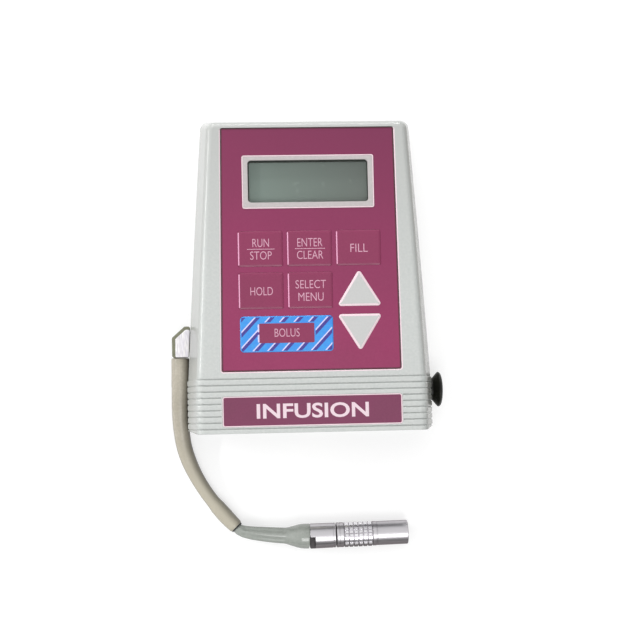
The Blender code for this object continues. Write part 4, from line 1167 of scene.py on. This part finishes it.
def door():
    """The battery door, with grip ridges and an arrow that shows which way it slides."""
    x, y, _ = span("battery_door")
    low, high = 0.2, 0.85
    plate = framed((-DOOR_HALF, DOOR_HALF), y, 0.4)
    core = framed((-DOOR_HALF + 0.5, DOOR_HALF - 0.5), (y[0] + 0.5, y[1] - 0.5), 0.4)
    solid = pad(plate, [(0.15, low), (0.0, low + 0.15), (0.0, high)])
    joined = [pad(core, [(0.0, 0.5), (0.0, 1.5)]), pad(framed(x, y, 0.4), [(0.0, 1.1), (0.0, 1.7)])]
    cutters = []
    for k in range(6):
        groove = y[0] + 6.0 + 1.9 * k
        cutters.append(boxes(((-9.0, groove, 0.0), (9.0, groove + 0.9, low + 0.35))))
    arrow = [(-3.2, y[0] + 19.5), (3.2, y[0] + 19.5), (0.0, y[0] + 23.5)]
    cutters.append(loft([[(px, py, h) for px, py in arrow] for h in (0.0, low + 0.25)]))
    mesh = carved("door_mesh", solid, [CASE], joined, cutters)
    piece("door_cover", mesh, [], "door", ["battery_door"], angle=30)


def inner_parts():
    """Materials for the CAD parts that keep their shape."""
    looks = {
        RUBBER_AND_GAP_SHADE: ["housing_seal", "display_strip"],
        FRAME: ["base_plate", "mechanism_frame", "display_holder"],
        FILM: ["keypad_circuit", "dome_sheet"],
        BOARD: ["control_board"],
        BLACK: ["port_socket", "battery_connector", "buzzer"],
        STEEL: ["latch_shaft", "latch_hook", "camshaft", "motor", "idler_pin", "hinge_pin_front", "hinge_pin_rear",
                "expulsor_spring", "inlet_valve_spring", "outlet_valve_spring", "latch_spring"],
        BRASS: ["camshaft_bearing_left", "camshaft_bearing_right", "latch_collar", "bracket_insert"],
        ACETAL: ["cam_gear", "idler_gear", "motor_pinion", "expulsor", "inlet_valve", "outlet_valve"],
        CELL: ["battery"],
    }
    for look, nodes in looks.items():
        for node in nodes:
            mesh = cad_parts[node].data
            mesh.materials.clear()
            mesh.materials.append(look)
            mesh.shade_smooth()
            mesh.set_sharp_from_angle(angle=radians(30))


# ---- floor and light

def area(name, place, size, power):
    data = bpy.data.lights.new(name, "AREA")
    data.shape = "RECTANGLE"
    data.size, data.size_y = size
    data.energy = power
    light = add(name, data)
    light.location = Vector(place)
    light.rotation_mode = "QUATERNION"
    light.rotation_quaternion = (-Vector(place)).to_track_quat("-Z", "Y")


def sky(scene):
    """Soft light from all round, brightest high up on the left and towards the top of the frame."""
    world = bpy.data.worlds.new("studio")
    world.use_nodes = True
    tree = world.node_tree
    way = tree.nodes.new("ShaderNodeTexCoord").outputs["Generated"]
    height = length_along(tree, way, Vector((-0.34, 0.3, 0.88)).normalized())
    strength = spread(tree, height, 0.16, 0.92, -0.1, 0.95)
    background = tree.nodes["Background"]
    background.inputs["Color"].default_value = (1.0, 1.0, 1.0, 1.0)
    tree.links.new(strength, background.inputs["Strength"])
    scene.world = world


def studio():
    scene = bpy.context.scene
    scene.view_settings.view_transform = "Standard"
    sky(scene)
    area("key", (0.04, -0.49, 0.73), (0.4, 0.4), 2.25)
    area("left_strip", (-0.77, 0.15, 0.38), (0.3, 0.022), 2.2)
    area("top_strip", (0.0, 0.82, 0.28), (0.6, 0.07), 3.3)

    shape = bmesh.new()
    bmesh.ops.create_grid(shape, x_segments=1, y_segments=1, size=3.0)
    paper = surface("floor_white", (0.46, 0.46, 0.46), 0.7, rub=0.02, Emission_Strength=0.61)
    paper.node_tree.nodes["Principled BSDF"].inputs["Emission Color"].default_value = (1.0, 1.0, 1.0, 1.0)
    floor = link("floor", shape, paper)
    floor.location = (0.0, 0.0, CAD_BOX[0].z - 0.00002)


camera()
SLEEVE_PIECE, BOOT_PIECE, CENTRELINE = lead()
ON_LEAD = [BOOT_PIECE] + connector()
studio()
front_case()
rear_case()
overlay()
for key in LEGENDS:
    square_key(key)
arrow_key("key_up", True)
arrow_key("key_down", False)
dose_key()
display()
label()
knob()
hood()
screws()
door()
inner_parts()
